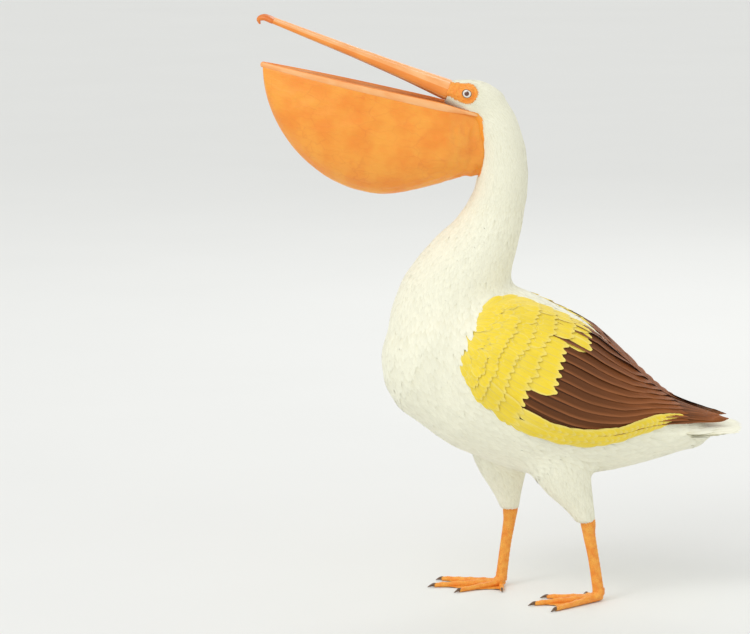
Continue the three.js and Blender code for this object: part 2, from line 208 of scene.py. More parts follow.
def mesh_piece(name, points, faces):
    """A piece from arrays. The faces are one array, or a list of arrays with 3 or 4 corners to a face."""
    groups = [np.asarray(f) for f in (faces if isinstance(faces, list) else [faces])]
    corners = np.concatenate([f.ravel() for f in groups])
    sizes = np.concatenate([np.full(len(f), f.shape[1]) for f in groups])
    mesh = bpy.data.meshes.new(name)
    mesh.vertices.add(len(points))
    mesh.vertices.foreach_set("co", np.asarray(points, np.float32).ravel())
    mesh.loops.add(len(corners))
    mesh.loops.foreach_set("vertex_index", corners.astype(np.int32))
    mesh.polygons.add(len(sizes))
    mesh.polygons.foreach_set("loop_start", np.concatenate([[0], np.cumsum(sizes)[:-1]]).astype(np.int32))
    mesh.polygons.foreach_set("loop_total", sizes.astype(np.int32))
    mesh.update(calc_edges=True)
    mesh.validate()
    return shown(mesh)


def grid_faces(rows, columns, closed=False, start=0):
    """Quads between neighbouring rows of points; closed joins each row's last point to its first."""
    j, i = np.meshgrid(np.arange(rows - 1), np.arange(columns if closed else columns - 1), indexing="ij")
    j, i = j.ravel(), i.ravel()
    after = (i + 1) % columns
    quads = [j * columns + i, j * columns + after, (j + 1) * columns + after, (j + 1) * columns + i]
    return np.stack(quads, -1) + start


def tube(rings):
    """Points and faces of a closed loft through rings of (rows, columns, 3), each cap a fan round a point."""
    rows, columns, _ = rings.shape
    points, faces = [rings.reshape(-1, 3)], [grid_faces(rows, columns, True)]
    i = np.arange(columns)
    for cap, (row, turn) in enumerate(((0, -1), (rows - 1, 1))):
        points.append(rings[row].mean(0, keepdims=True))
        ring = row * columns + np.stack([i, (i + 1) % columns][::turn], -1)
        faces.append(np.column_stack([ring, np.full(columns, rows * columns + cap)]))
    return np.concatenate(points), faces


def merged(parts):
    """Several (points, [faces]) as one."""
    points, faces, start = [], [], 0
    for part_points, part_faces in parts:
        points.append(part_points)
        faces += [f + start for f in part_faces]
        start += len(part_points)
    return np.concatenate(points), faces


def ripples(points, scale, seed):
    """Smooth random values from about -1 to 1 at each point, with waves of the given length and shorter."""
    source = np.random.default_rng(seed)
    octaves, waves = 3, 6
    total = np.zeros(len(points))
    for octave in range(octaves):
        for _ in range(waves):
            way = unit(source.normal(size=3)) * math.tau / scale * 2**octave
            total += np.sin(points @ way + source.uniform(0, math.tau)) * 0.5**octave
    return total / (waves * 1.2) ** 0.5


def finished(piece, *materials, slots=None):
    """Puts materials on a piece; slots says which of them each polygon has."""
    for material in materials:
        piece.data.materials.append(material)
    if slots is not None:
        piece.data.polygons.foreach_set("material_index", np.asarray(slots, np.int32))
    return piece


# ---- materials ----
class Look:
    """A material whose nodes feed one Principled shader."""

    def __init__(self, name, roughness=0.6, **sockets):
        self.material = bpy.data.materials.new(name)
        self.material.use_nodes = True
        self.tree = self.material.node_tree
        self.shader = self.tree.nodes["Principled BSDF"]
        self.shader.inputs["Roughness"].default_value = roughness
        for socket, value in sockets.items():
            self.shader.inputs[socket.replace("_", " ")].default_value = value

    def feed(self, socket, value):
        """Gives an input another node's output, a number, or a colour by its code on a paint chart."""
        if isinstance(value, bpy.types.NodeSocket):
            self.tree.links.new(value, socket)
        else:
            socket.default_value = srgb(value) if isinstance(value, str) else value

    def node(self, kind, inputs=None, **settings):
        made = self.tree.nodes.new("ShaderNode" + kind)
        for name, value in settings.items():
            setattr(made, name, value)
        for name, value in (inputs or {}).items():
            self.feed(made.inputs[name], value)
        return made

    def coords(self, turned=0.0, stretch=(1, 1, 1)):
        """The row frame's coordinates, turned about Y so that X runs along the bill or jaw, and stretched."""
        source = self.node("TexCoord").outputs["Object"]
        level = self.node("Mapping", {"Vector": source, "Rotation": (0, -turned, 0)}).outputs[0]
        return self.node("Mapping", {"Vector": level, "Scale": stretch}).outputs[0]

    def noise(self, vector, scale, detail=3.0, roughness=0.5):
        inputs = {"Vector": vector, "Scale": scale, "Detail": detail, "Roughness": roughness}
        return self.node("TexNoise", inputs).outputs["Fac"]

    def cells(self, vector, scale):
        """The distance to the borders of random cells."""
        made = self.node("TexVoronoi", {"Vector": vector, "Scale": scale}, feature="DISTANCE_TO_EDGE")
        return made.outputs["Distance"]

    def maths(self, operation, *values):
        made = self.node("Math", operation=operation)
        for socket, value in zip(made.inputs, values):
            self.feed(socket, value)
        return made.outputs[0]

    def between(self, value, low, high, to=(0.0, 1.0)):
        inputs = {"Value": value, "From Min": low, "From Max": high, "To Min": to[0], "To Max": to[1]}
        return self.node("MapRange", inputs, interpolation_type="SMOOTHSTEP").outputs[0]

    def mix(self, factor, a, b, blend="MIX"):
        made = self.node("Mix", data_type="RGBA", blend_type=blend)
        for index, value in ((0, factor), (6, a), (7, b)):
            self.feed(made.inputs[index], value)
        return made.outputs[2]

    def colour(self, value):
        self.feed(self.shader.inputs["Base Color"], value)

    def rough(self, value):
        self.feed(self.shader.inputs["Roughness"], value)

    def bump(self, height, distance, strength=1.0):
        inputs = {"Height": height, "Distance": distance, "Strength": strength}
        self.feed(self.shader.inputs["Normal"], self.node("Bump", inputs).outputs[0])


def vane_look(name, root, tip, sheen, edge=None, shaft=None, roughness=0.7):
    """Vanes that change from root to tip, with barbs that slant out from the shaft and cling in clumps."""
    look = Look(name, roughness, Sheen_Weight=sheen, Sheen_Roughness=0.5, Specular_IOR_Level=0.25)
    place = look.node("UVMap", uv_map="vane").outputs[0]
    across, along, _ = look.node("SeparateXYZ", {0: place}).outputs
    off_shaft = look.maths("ABSOLUTE", look.maths("SUBTRACT", across, 0.5))
    down, out = look.maths("MULTIPLY", along, 60.0), look.maths("MULTIPLY", off_shaft, 40.0)
    slant = look.maths("SUBTRACT", down, out)
    tint = look.node("Attribute", attribute_name="tint").outputs["Fac"]
    own = look.maths("MULTIPLY", tint, 80.0)
    barbs = look.node("CombineXYZ", {0: look.maths("MULTIPLY", slant, 0.3), 1: off_shaft, 2: own}).outputs[0]
    clumps = look.noise(barbs, 1.0, 3)
    # Root to tip. For the white feathers the darker cream at the root is painted shade, where each feather
    # lies under the next.
    paint = look.mix(look.between(along, 0.2, 0.95), root, tip)
    if edge:
        rim = look.maths("MAXIMUM", look.between(off_shaft, 0.3, 0.5), look.between(along, 0.84, 1.0))
        paint = look.mix(look.maths("MULTIPLY", rim, 0.7), paint, edge)
    paint = look.mix(look.between(clumps, 0.4, 0.72, (0.0, 0.45)), paint, root)
    if shaft:
        paint = look.mix(look.between(off_shaft, 0.03, 0.012, (0.0, 0.8)), paint, shaft)
    level = look.between(tint, 0, 1, (0.95, 1.0))
    grey = look.node("CombineColor", {0: level, 1: level, 2: level}).outputs[0]
    look.colour(look.mix(1.0, paint, grey, "MULTIPLY"))
    rows = look.maths("MULTIPLY", look.maths("SINE", look.maths("MULTIPLY", slant, math.tau)), 0.1)
    look.bump(look.maths("ADD", rows, clumps), 0.5 * MM, 0.6)
    return look.material


def down_look(name, colour):
    """The skin under feathers, matt and slightly mottled."""
    look = Look(name, 0.9, Specular_IOR_Level=0.1)
    mottle = look.noise(look.coords(), 120, 4)
    darker = tuple(0.88 * c for c in srgb(colour)[:3]) + (1,)
    look.colour(look.mix(mottle, darker, colour))
    look.bump(mottle, 0.6 * MM)
    return look.material


def bare_look(name, pale, deep):
    """Bare skin, mottled and with fine pores."""
    look = Look(name, 0.5, Subsurface_Weight=0.12, Subsurface_Scale=2 * MM)
    place = look.coords()
    mottle = look.noise(place, 260, 5)
    look.colour(look.mix(look.between(mottle, 0.3, 0.7), deep, pale))
    pores = look.between(look.cells(place, 900.0), 0.0, 0.25)
    look.bump(look.maths("ADD", pores, look.maths("MULTIPLY", mottle, 1.5)), 0.1 * MM, 0.7)
    return look.material


def pouch_look(name, pale, deep, vein_colour):
    """Thin stretched skin with fine folds from the tip to the throat, and branching veins."""
    soft = {"Subsurface_Weight": 0.2, "Subsurface_Scale": 3 * MM}
    look = Look(name, 0.42, Coat_Weight=0.1, Coat_Roughness=0.35, **soft)
    place = look.coords(JAW_TILT)
    folds = look.noise(look.coords(JAW_TILT, (0.16, 1, 1)), 260, 4, 0.6)
    clouds = look.noise(place, 22, 3)
    drift = look.node("TexNoise", {"Vector": place, "Scale": 40.0}).outputs["Color"]
    drifted = look.node("VectorMath", {0: drift, 1: (0.02,) * 3, 2: place}, operation="MULTIPLY_ADD")
    stretched = look.node("Mapping", {"Vector": drifted.outputs[0], "Scale": (0.4, 1, 1)}).outputs[0]
    vein = look.between(look.cells(stretched, 62.0), 0.05, 0.0)
    paint = look.mix(look.between(clouds, 0.3, 0.7), deep, pale)
    strength = look.between(look.noise(place, 14, 2), 0.4, 0.7, (0.02, 0.22))
    look.colour(look.mix(look.maths("MULTIPLY", vein, strength), paint, vein_colour))
    look.rough(look.between(folds, 0.2, 0.8, (0.34, 0.55)))
    look.bump(look.maths("ADD", folds, look.maths("MULTIPLY", vein, 0.2)), 0.6 * MM)
    return look.material


def scale_look():
    """Small plates with darker grooves between them."""
    look = Look("leg_scales", 0.5, Coat_Weight=0.08, Coat_Roughness=0.35)
    place = look.coords()
    plate = look.between(look.cells(place, 420.0), 0.0, 0.12)
    paint = look.mix(look.between(look.noise(place, 90, 4), 0.3, 0.7), "F7942A", "FFB84A")
    look.colour(look.mix(look.between(plate, 0, 1, (0.6, 0.0)), paint, "D87824"))
    look.bump(plate, 0.2 * MM)
    return look.material


def horn_look(name, pale, deep, tilt, roughness=0.34):
    """Horn with fine striations along the bill."""
    look = Look(name, roughness, Coat_Weight=0.12, Coat_Roughness=0.25, Specular_IOR_Level=0.45)
    striae = look.noise(look.coords(tilt, (0.05, 1, 1)), 700, 4, 0.6)
    clouds = look.noise(look.coords(tilt, (0.35, 1, 1)), 60, 4)
    look.colour(look.mix(look.between(clouds, 0.35, 0.7), deep, pale))
    look.rough(look.between(striae, 0.2, 0.8, (roughness - 0.06, roughness + 0.16)))
    look.bump(striae, 0.35 * MM)
    return look.material


def claw_look():
    look = Look("claw_horn", 0.35, Coat_Weight=0.1)
    look.colour(look.mix(look.noise(look.coords(), 300, 3), "4B3425", "7A5A3C"))
    look.bump(look.noise(look.coords(), 900, 3), 0.1 * MM)
    return look.material


def eye_axis(side):
    """Which way an eye looks: out, a little forward and up."""
    return (HEAD.to_3x3() @ Vector((-0.2, side, 0.05))).normalized()


def eye_look():
    """A pale iris round a dark brown pupil, under a wet surface. Both eyes share it, by symmetry."""
    look = Look("eye_wet", 0.05, Coat_Weight=1.0, Coat_Roughness=0.02, Specular_IOR_Level=0.6)
    x, y, z = look.node("SeparateXYZ", {0: look.node("TexCoord").outputs["Object"]}).outputs
    point = look.node("CombineXYZ", {0: x, 1: look.maths("ABSOLUTE", y), 2: z}).outputs[0]
    out = look.node("VectorMath", {0: point, 1: eyes["right"]}, operation="SUBTRACT").outputs[0]
    out = look.node("VectorMath", {0: out}, operation="NORMALIZE").outputs[0]
    facing = look.node("VectorMath", {0: out, 1: eye_axis(1)}, operation="DOT_PRODUCT").outputs["Value"]
    angle = look.maths("ARCCOSINE", facing)
    iris = look.mix(look.noise(out, 9, 5), "DDD9C8", "FBFAF4")
    iris = look.mix(look.between(angle, 0.6, 0.78), iris, "7A5233")
    look.colour(look.mix(look.between(angle, 0.4, 0.36), iris, "5A2A10"))
    return look.material


# The second cream is darker: painted shade at the white feathers' roots, where each lies under the next, and
# the colour of their barb streaks.
CREAM, CREAM_ROOT_SHADE = "FAF9E4", "EEEBD0"
STRAW, STRAW_ROOT = "F8DA30", "F8E05C"
BROWN, BROWN_ROOT = "985219", "613614"
PEACH, PEACH_DEEP = "F9BD80", "F6A862"

WHITE_DOWN = down_look("white_down", CREAM)
STRAW_DOWN = down_look("straw_down", STRAW_ROOT)
DARK_DOWN = down_look("dark_down", BROWN_ROOT)
BARE = bare_look("bare_skin", "FBA63E", "F6932F")
# Dark brown for the lids' inner edge: painted shade where the lid meets the eyeball, and partly the lid
# margin's own darker skin.
LID_SHADE = bare_look("lid_edge", "8E4A22", "5F2E17")
MOUTH = bare_look("mouth_skin", "F2A070", "DE7F52")
POUCH = pouch_look("pouch_skin", "FAA63A", "F4922A", "DC6A22")
POUCH_LINING = pouch_look("pouch_lining", "F9B87A", "EFA060", "D9713C")
SCALES = scale_look()
HORN = horn_look("bill_horn", PEACH, PEACH_DEEP, HEAD_TILT)
HORN_EDGE = horn_look("bill_edge", "F79A3E", "EE8A35", HEAD_TILT)
JAW_HORN = horn_look("jaw_horn", PEACH, PEACH_DEEP, JAW_TILT)
NAIL = horn_look("nail_horn", "F0903A", "DD7428", HEAD_TILT, 0.28)
CLAW = claw_look()
EYE = eye_look()
WHITE_VANE = vane_look("white_vane", CREAM_ROOT_SHADE, CREAM, 0.2)
STRAW_VANE = vane_look("straw_vane", STRAW_ROOT, STRAW, 0.15, "FAE98C", "E5CC6A")
DARK_VANE = vane_look("dark_vane", BROWN_ROOT, BROWN, 0.05, "A8673A", "331A0C", 0.55)
TAIL_VANE = vane_look("tail_vane", CREAM_ROOT_SHADE, CREAM, 0.15, None, "DDD6B4", 0.6)


# ---- camera, floor and light ----
CAMERA_AIM = Vector((-0.2205, 0, 0.496))
CAMERA_DISTANCE = 7.0
CAMERA_RISE = math.radians(9)
CAMERA_LENS = 191.5  # millimetres
LAMP_AIM = Vector((0, 0, 0.5))
LAMPS = (  # name, kind, place, size in metres or angle, and watts or strength
    ("sky", "SUN", (-2.6, -3.0, 4.2), math.radians(50), 0.78),
    ("key", "AREA", (-2.6, -2.6, 3.9), 1.2, 26),
    ("fill", "AREA", (3.4, -2.6, 1.8), 2.4, 10),
    ("rim", "AREA", (1.2, 3.6, 3.2), 2.0, 30),
)


def set_up(name, data, place, aim):
    """A camera or lamp at a place, turned to its aim."""
    made = bpy.data.objects.new(name, data)
    made.location = place
    made.rotation_euler = (aim - made.location).to_track_quat("-Z", "Y").to_euler()
    bpy.context.scene.collection.objects.link(made)
    return made


def set_camera():
    data = bpy.data.cameras.new("camera")
    data.lens = CAMERA_LENS
    offset = Vector((0, -math.cos(CAMERA_RISE), math.sin(CAMERA_RISE))) * CAMERA_DISTANCE
    bpy.context.scene.camera = set_up("camera", data, CAMERA_AIM + offset, CAMERA_AIM)


def set_floor():
    look = Look("floor", 0.85, Specular_IOR_Level=0.1)
    look.colour(look.mix(look.noise(look.coords(), 2.0), "E7E8E6", "EAEBE9"))
    bpy.ops.mesh.primitive_plane_add(size=60, location=(0, 0, -0.2 * MM))
    floor = bpy.context.object
    floor.name = "floor"
    floor.data.materials.append(look.material)


def set_light():
    world = bpy.data.worlds.new("studio")
    world.use_nodes = True
    background = world.node_tree.nodes["Background"]
    background.inputs["Color"].default_value = (1.0, 1.0, 0.99, 1)
    background.inputs["Strength"].default_value = 0.75
    bpy.context.scene.world = world
    for name, kind, place, size, power in LAMPS:
        data = bpy.data.lights.new(name, kind)
        setattr(data, "angle" if kind == "SUN" else "size", size)
        data.energy = power
        set_up(name, data, place, LAMP_AIM)


bpy.context.scene.view_settings.view_transform = "Standard"
set_camera()
set_floor()
set_light()


# ---- the skin under the feathers ----
LIMBS = {part: [part] for part in ("trunk", "neck_lower", "neck_upper", "head", "tail")}
for part, nodes in {"thigh": "thigh_{}", "wing": "wing_{}", "flight": "flight_feathers_{}"}.items():
    LIMBS[part] = [nodes.format(name) for name in SIDES]
PARTS = list(LIMBS)
PART = {part: place for place, part in enumerate(PARTS)}


def nodes_mesh(names, grow=0.0):
    """CAD nodes as one bmesh, each a little fuller."""
    made = bmesh.new()
    for name in names:
        made.from_mesh(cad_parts[name].data)
    bmesh.ops.remove_doubles(made, verts=made.verts, dist=0.02 * MM)
    made.normal_update()
    for corner in made.verts:
        corner.co += corner.normal * grow
    return made


def surface_of(names):
    """The outline of several CAD nodes, to find near places on or to cast rays at."""
    made = nodes_mesh(names)
    tree = BVHTree.FromBMesh(made)
    made.free()
    return tree


OUTLINES = {part: surface_of(names) for part, names in LIMBS.items()}


def fused(names, voxel):
    """One closed mesh round several CAD nodes, as arrays of points and quads."""
    overlap = 0.6 * MM
    made = nodes_mesh(names, overlap)
    mesh = bpy.data.meshes.new("fused")
    made.to_mesh(mesh)
    made.free()
    block = bpy.data.objects.new("fused", mesh)
    bpy.context.scene.collection.objects.link(block)
    remesh = block.modifiers.new("voxels", "REMESH")
    remesh.mode, remesh.voxel_size = "VOXEL", voxel
    result = bpy.data.meshes.new_from_object(block.evaluated_get(bpy.context.evaluated_depsgraph_get()))
    points = np.empty(len(result.vertices) * 3)
    result.vertices.foreach_get("co", points)
    corners = np.empty(len(result.loops), int)
    result.loops.foreach_get("vertex_index", corners)
    bpy.data.objects.remove(block)
    return points.reshape(-1, 3), corners.reshape(-1, 4)


def face_normals(points, faces):
    return np.cross(points[faces[:, 2]] - points[faces[:, 0]], points[faces[:, -1]] - points[faces[:, 1]])


def normals_of(points, faces):
    total, normals = np.zeros_like(points), face_normals(points, faces)
    for column in faces.T:
        for axis in range(3):
            total[:, axis] += np.bincount(column, normals[:, axis], len(points))
    return unit(total)


def relaxed(values, faces, rounds, share=0.5):
    """Values at the points of a quad mesh, drawn towards the mean of their neighbours."""
    count = len(values)
    ends = np.concatenate([faces, np.roll(faces, 1, 1)]).ravel()
    others = np.concatenate([np.roll(faces, 1, 1), faces]).ravel()
    degree = np.bincount(ends, minlength=count)[:, None]
    for _ in range(rounds):
        mean = np.stack([np.bincount(ends, column[others], count) for column in values.T], -1) / degree
        values = values + (mean - values) * share
    return values


def nearest_parts(points):
    """For each point, how far it is from each part's outline, in the order of PARTS."""
    return np.array([[OUTLINES[part].find_nearest(p)[3] for part in PARTS] for p in points])


def thickness(tree, points, normals):
    """How far it is through the flesh from each point to the other side."""
    under, thickest = 0.2 * MM, 100 * MM
    found = []
    for point, normal in zip(points, normals):
        hit = tree.ray_cast(Vector(point - normal * under), Vector(-normal))
        found.append(hit[3] if hit[0] else thickest)
    return np.array(found)


VOXEL = 3.2 * MM
PART_BLEND = 4 * MM  # over which what grows on one part turns into what grows on the next
DEEPEST = 0.33  # of the flesh's thickness, how far the skin may lie below the outline
FLESH = [name for names in LIMBS.values() for name in names] + ["eye_left", "eye_right"]
WING_SKIN_END = 250  # behind this the skin leaves a folded wing's blunt end to the longest feathers
CREASES = (  # between which parts, and how wide in millimetres
    ("trunk", "neck_lower", 40), ("trunk", "thigh", 14), ("neck_upper", "head", 8), ("trunk", "wing", 3),
)  # fmt: skip


def softened(points, faces, gaps):
    """Smooths the outline everywhere a little, and the creases between two parts much more."""
    points = relaxed(points, faces, 6)
    share = np.zeros(len(points))
    for first, second, width in CREASES:
        apart = np.maximum(gaps[:, PART[first]], gaps[:, PART[second]])
        share = np.maximum(share, bell(apart, width * MM))
    return relaxed(points, faces, 100, 0.5 * share[:, None])


outline_points, skin_faces = fused(FLESH, VOXEL)
part_gaps = nearest_parts(outline_points)
outline_points = softened(outline_points, skin_faces, part_gaps)
near = np.exp(-part_gaps / PART_BLEND)
near /= near.sum(1, keepdims=True)
depths = near @ np.array([COAT_DEPTH[part] for part in PARTS]) * MM
outline_normals = normals_of(outline_points, skin_faces)
outline_tree = BVHTree.FromPolygons(outline_points.tolist(), skin_faces.tolist())
room = thickness(outline_tree, outline_points, outline_normals)
depths = relaxed(np.minimum(depths, DEEPEST * room)[:, None], skin_faces, 8)
skin_points = outline_points - unit(relaxed(outline_normals, skin_faces, 3)) * depths
past_end = (skin_points[:, 0] - DESIGN.translation.x - WING_SKIN_END * MM).clip(0)
skin_points[:, 0] -= 0.8 * past_end * near[:, PART["flight"]]
part_of_point = part_gaps.argmin(1)


# ---- bill ----
def roofed(angles):
    """The upper bill's section: a roof above, and a flatter palate below."""
    out, rise = np.cos(angles), np.sin(angles)
    out = np.sign(out) * np.abs(out) ** 0.8
    return out, np.where(rise > 0, np.abs(rise) ** 1.5, -(np.abs(rise) ** 0.7))


def bill_rings(stations, shares, sides, relief):
    """Rings in the head's frame, in millimetres, with a ridge between two grooves above, and a hollow palate
    with a keel and sharp edges below, all cut to the relief."""
    angles = full_turn(sides)
    place, up, size = Envelope(stations).frame_at(shares)
    out, rise = roofed(angles)
    ridge = 1.5 * bell(out, 0.17) - 1.3 * bell(np.abs(out) - 0.42, 0.1)
    palate = 1.6 * (1 - out**2) - 1.1 * bell(out, 0.1) - 0.7 * bell(np.abs(out) - 0.9, 0.1)
    carved = np.where(np.sin(angles) > 0, ridge * np.sin(angles), palate * -np.sin(angles))
    lift = rise * size[:, :1] + carved * relief * np.minimum(1, size[:, :1] / 6)
    x = place[:, :1] + up[:, :1] * lift
    z = place[:, 1:] + up[:, 1:] * lift
    return np.stack([x, np.broadcast_to(out * size[:, 1:], x.shape), z], -1), out


def horn_piece(name, matrix, rings, replaced, look, edge=None, edge_look=None):
    """A loft of rings in millimetres; edge tells which places round each ring take the edge's material."""
    points, faces = tube(rings)
    piece = mesh_piece(name, placed(matrix, points * MM), faces)
    if edge is None:
        finished(piece, look)
    else:
        on_edge = np.broadcast_to(edge, rings.shape[:2])[:-1].ravel()
        finished(piece, look, edge_look, slots=np.concatenate([on_edge, np.zeros(2 * rings.shape[1])]))
    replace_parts(piece, replaced)


UPPER_BILL = (  # shares of the bill's length from its root, then z, and half its height and width
    (1 - NAIL_LENGTH / BILL_LENGTH, -8, 5.5, 15), (0.8, -7, 6.5, 14.5), (0.5, -4, 9, 14),
    (0.22, -2, 13, 18), (0.3 / BILL_LENGTH, -1, 18, 23),
)  # fmt: skip


def make_upper_bill():
    stations = [(BILL_ROOT - share * BILL_LENGTH, *more) for share, *more in UPPER_BILL]
    rings, out = bill_rings(stations, np.linspace(0, 1, 110), 72, 1.0)
    root = rings[-1] * 0.86 + rings[-1].mean(0) * 0.14 + np.array([7, 0, 0])
    rings = np.concatenate([rings, root[None]])
    edge = np.abs(out) > 0.93
    horn_piece("bill_upper_horn", HEAD, rings, "bill_upper", HORN, edge, HORN_EDGE)


def make_nail():
    tip = BILL_ROOT - BILL_LENGTH
    stations = [
        (tip + 6, -22, 1.2, 1.8), (tip + 1.5, -15, 4, 5), (tip + 8, -9, 5.6, 9),
        (tip + NAIL_LENGTH - 1, -8, 6.0, 15.2), (tip + NAIL_LENGTH + 0.8, -8, 5.3, 14.4),
    ]  # fmt: skip
    rings, _ = bill_rings(stations, np.linspace(0, 1, 40), 56, 0.5)
    horn_piece("bill_nail_horn", HEAD, rings, "bill_nail", NAIL)


def jaw_half(share):
    """Half the gap between the rods of the lower bill; they dive into the cheeks at the joint."""
    opening = np.sin(math.pi * np.minimum(0.5, share)) ** 0.8
    return JAW_SPREAD * opening - 40 * np.maximum(0, share - 0.5) ** 2 - 9 * smoothstep(0.84, 1.0, share)


def jaw_height(share):
    """Half the height of the rods, which end as low wedges where they meet the cheeks."""
    return 5 + 4 * share - 5.2 * smoothstep(0.8, 0.97, share)


def make_lower_bill():
    shares = np.array([1.0, 0.96, 0.92, 0.88, 0.84, 0.78, 0.7, 0.55, 0.4, 0.22, 0.1, 0.03])
    along_jaw = -JAW_LENGTH * (1 - shares)
    half = np.column_stack([along_jaw, -jaw_half(shares), jaw_height(shares), np.full(len(shares), 3.6)])
    stations = np.concatenate([half, [[-JAW_LENGTH + 2, 0, 5, 4.5]], half[::-1] * [1, -1, 1, 1]])
    line, sizes = smooth_curve(stations[:, :2]), smooth_curve(stations[:, 2:])
    shares = np.linspace(0, 1, 300)
    place, (high, wide) = line(shares), sizes(shares).T
    side = across_line(line, shares)  # towards the inside of the bow
    angles = full_turn(32)
    out, rise = np.cos(angles), np.sin(angles)
    flank = 1 - 0.16 * bell(rise - 0.15, 0.22) * np.sign(-out).clip(0)
    lip = 1 - 0.35 * rise.clip(0) ** 3
    across = np.sign(out) * np.abs(out) ** 0.75 * flank * lip
    y = place[:, None] + side[:, None] * (across[None] * wide[:, None])[..., None]
    rings = np.concatenate([y, (rise[None] * high[:, None])[..., None]], -1)
    edge = (rise > 0.8) | (rise < -0.75)
    horn_piece("bill_lower_horn", JAW, rings, "bill_lower", JAW_HORN, edge, HORN_EDGE)


# ---- pouch ----
def pouch_size(along, wall):
    """The pouch at shares from the bill's tip to the throat: x, its rim, depth, half width and swell."""
    x = -JAW_LENGTH + 3 + wall + (JAW_LENGTH - 3 - wall + POUCH_REACH) * along
    share = np.minimum(1, (x + JAW_LENGTH) / JAW_LENGTH)
    front = np.sqrt(np.maximum(0, 1 - (1 - np.minimum(1, along / 0.42)) ** 2))
    throat = 1 - 0.42 * smoothstep(0.45, 1, along)
    tuck = 1 - 0.3 * smoothstep(0.8, 1, along)
    depth = np.maximum(0.5, POUCH_DEPTH * front * throat - wall)
    rim = (jaw_half(share) + 3.2) * tuck
    swell = (POUCH_HALF_WIDTH - JAW_SPREAD) * front * tuck**2
    return x, -jaw_height(share), depth, rim - wall, swell


def pouch_wall(rows, columns, wall):
    """One wall of the pouch with its pleats, drawn in by the wall's thickness and tucked into the bill."""
    along = (np.linspace(0, 1, rows) ** 1.35)[:, None]
    angles = np.linspace(0, math.pi, columns)[None]
    x, top, depth, rim, swell = pouch_size(along, wall)
    drop = np.sin(angles) ** 0.8
    half = np.maximum(1.6, rim + swell * np.sin(2 * np.minimum(angles, math.pi - angles)))
    points = np.stack([x + math.tan(JAW_TILT) * depth * drop, half * np.cos(angles), top - depth * drop], -1)
    flat = points.reshape(-1, 3) * [0.14, 1, 0.55]
    pleats = ripples(flat, 9, 5).reshape(rows, columns) * 0.45
    throat_folds = ripples(points.reshape(-1, 3) * [1, 1, 0.2], 16, 8).reshape(rows, columns)
    pleats = pleats * (0.5 + np.cos(angles) ** 2) + throat_folds * 1.5 * smoothstep(0.7, 0.95, along)
    out = unit(points - np.stack([x, 0 * x, top - 0.3 * depth], -1))
    points = points + out * (pleats * smoothstep(0.02, 0.1, along) * np.minimum(1, 4 * drop))[..., None]
    tucked = [points[:, :1] + [0, -1.2, 3.5], points[:, -1:] + [0, 1.2, 3.5]]
    return np.concatenate([tucked[0], points, tucked[1]], 1)


def make_pouch():
    """Two walls joined all round their border: points, faces, and which of the faces are inside."""
    rows, columns = 150, 118
    outer, inner = pouch_wall(rows, columns, 0.0), pouch_wall(rows, columns, 1.7)
    across = columns + 2
    size = rows * across
    walls = [grid_faces(rows, across), grid_faces(rows, across, start=size)[:, ::-1]]
    grid = np.arange(size).reshape(rows, across)
    border = np.concatenate([grid[0, :-1], grid[:-1, -1], grid[-1, :0:-1], grid[:0:-1, 0]])
    after = np.roll(border, -1)
    rim = np.stack([border, border + size, after + size, after], -1)
    points = np.concatenate([outer.reshape(-1, 3), inner.reshape(-1, 3)])
    rims = [across - 1, rows - 1] * 2
    inside = np.repeat([0, 1, 1, 0, 1, 0], [*map(len, walls), *rims])
    return placed(JAW, points * MM), [*walls, rim], inside


def in_pouch(points, margin=0):
    """True for points between the walls of the pouch and the lower bill, or within the margin of them."""
    x, y, z = within(JAW, points)
    plumb = x - math.tan(JAW_TILT) * np.maximum(0, -9 - z)
    along = (plumb + JAW_LENGTH - 3) / (JAW_LENGTH - 3 + POUCH_REACH)
    _, top, depth, rim, swell = pouch_size(along.clip(0, 1), 1.0 - margin)
    hang = ((top - z) / depth).clip(0, 1)
    half = rim * np.sqrt(1 - hang**2) + swell
    return (z < top + 8) & (z > top - depth) & (np.abs(y) < half) & (along < 0.995)


# ---- bare skin round the eyes, and the lids ----
BARE_EDGE = 2.6  # how far the bare patch runs on under the feathers
EYE_RING = 17.5  # the bare disc round the eye
BARE_CORNERS = ((37, 5), (37, -15))  # forward of the eye and above it, just over the horn of the bill
LID = (  # from the lid's inner edge outwards: steps from the opening, and heights above the eyeball
    (-1.1, -0.6), (-0.6, 0.1), (-0.4, 0.75), (0.1, 1.3), (0.9, 1.5), (1.7, 1.1), (2.3, 0.6), (2.9, 0.55),
    (3.5, 1.1),
)  # fmt: skip
# The dark rings are painted shade where the lid meets the eyeball, and partly the lid margin's own darker
# skin.
LID_SHADE_RINGS = 3  # rings of faces along the lid's inner edge that are dark
PATCH_SIDES = 128


def eye_frame(side):
    """The eye's middle, its axis, and two directions across it: towards the bill, and up."""
    axis = eye_axis(side)
    forward = HEAD.to_3x3() @ Vector((-1, 0, 0))
    forward = (forward - axis * forward.dot(axis)).normalized()
    up = axis.cross(forward) * side
    if up.z < 0:
        up = -up
    centre = eyes["left" if side < 0 else "right"]
    return [np.array(v) for v in (centre, axis, forward, up)]


def bare_reach(turn):
    """How far the bare skin reaches from the eye, by the angle from the bill's direction, in millimetres.

    It is a disc round the eye, with straight borders from the disc to two corners on the bill.
    """
    turn = np.arctan2(np.sin(turn), np.cos(turn))
    limits = [BARE_CORNERS[0][0] / np.cos(turn).clip(0.1)]
    ahead = True
    for (forward, up), bend in zip(BARE_CORNERS, (1, -1)):
        tangent = math.atan2(up, forward) + bend * math.acos(EYE_RING / math.hypot(forward, up))
        limits.append(EYE_RING / np.cos(turn - tangent).clip(0.1))
        ahead = ahead & (bend * (tangent - turn) > 0)
    return np.where(ahead, np.minimum.reduce(limits), EYE_RING)


face_outline = surface_of(["head", "bill_upper"])


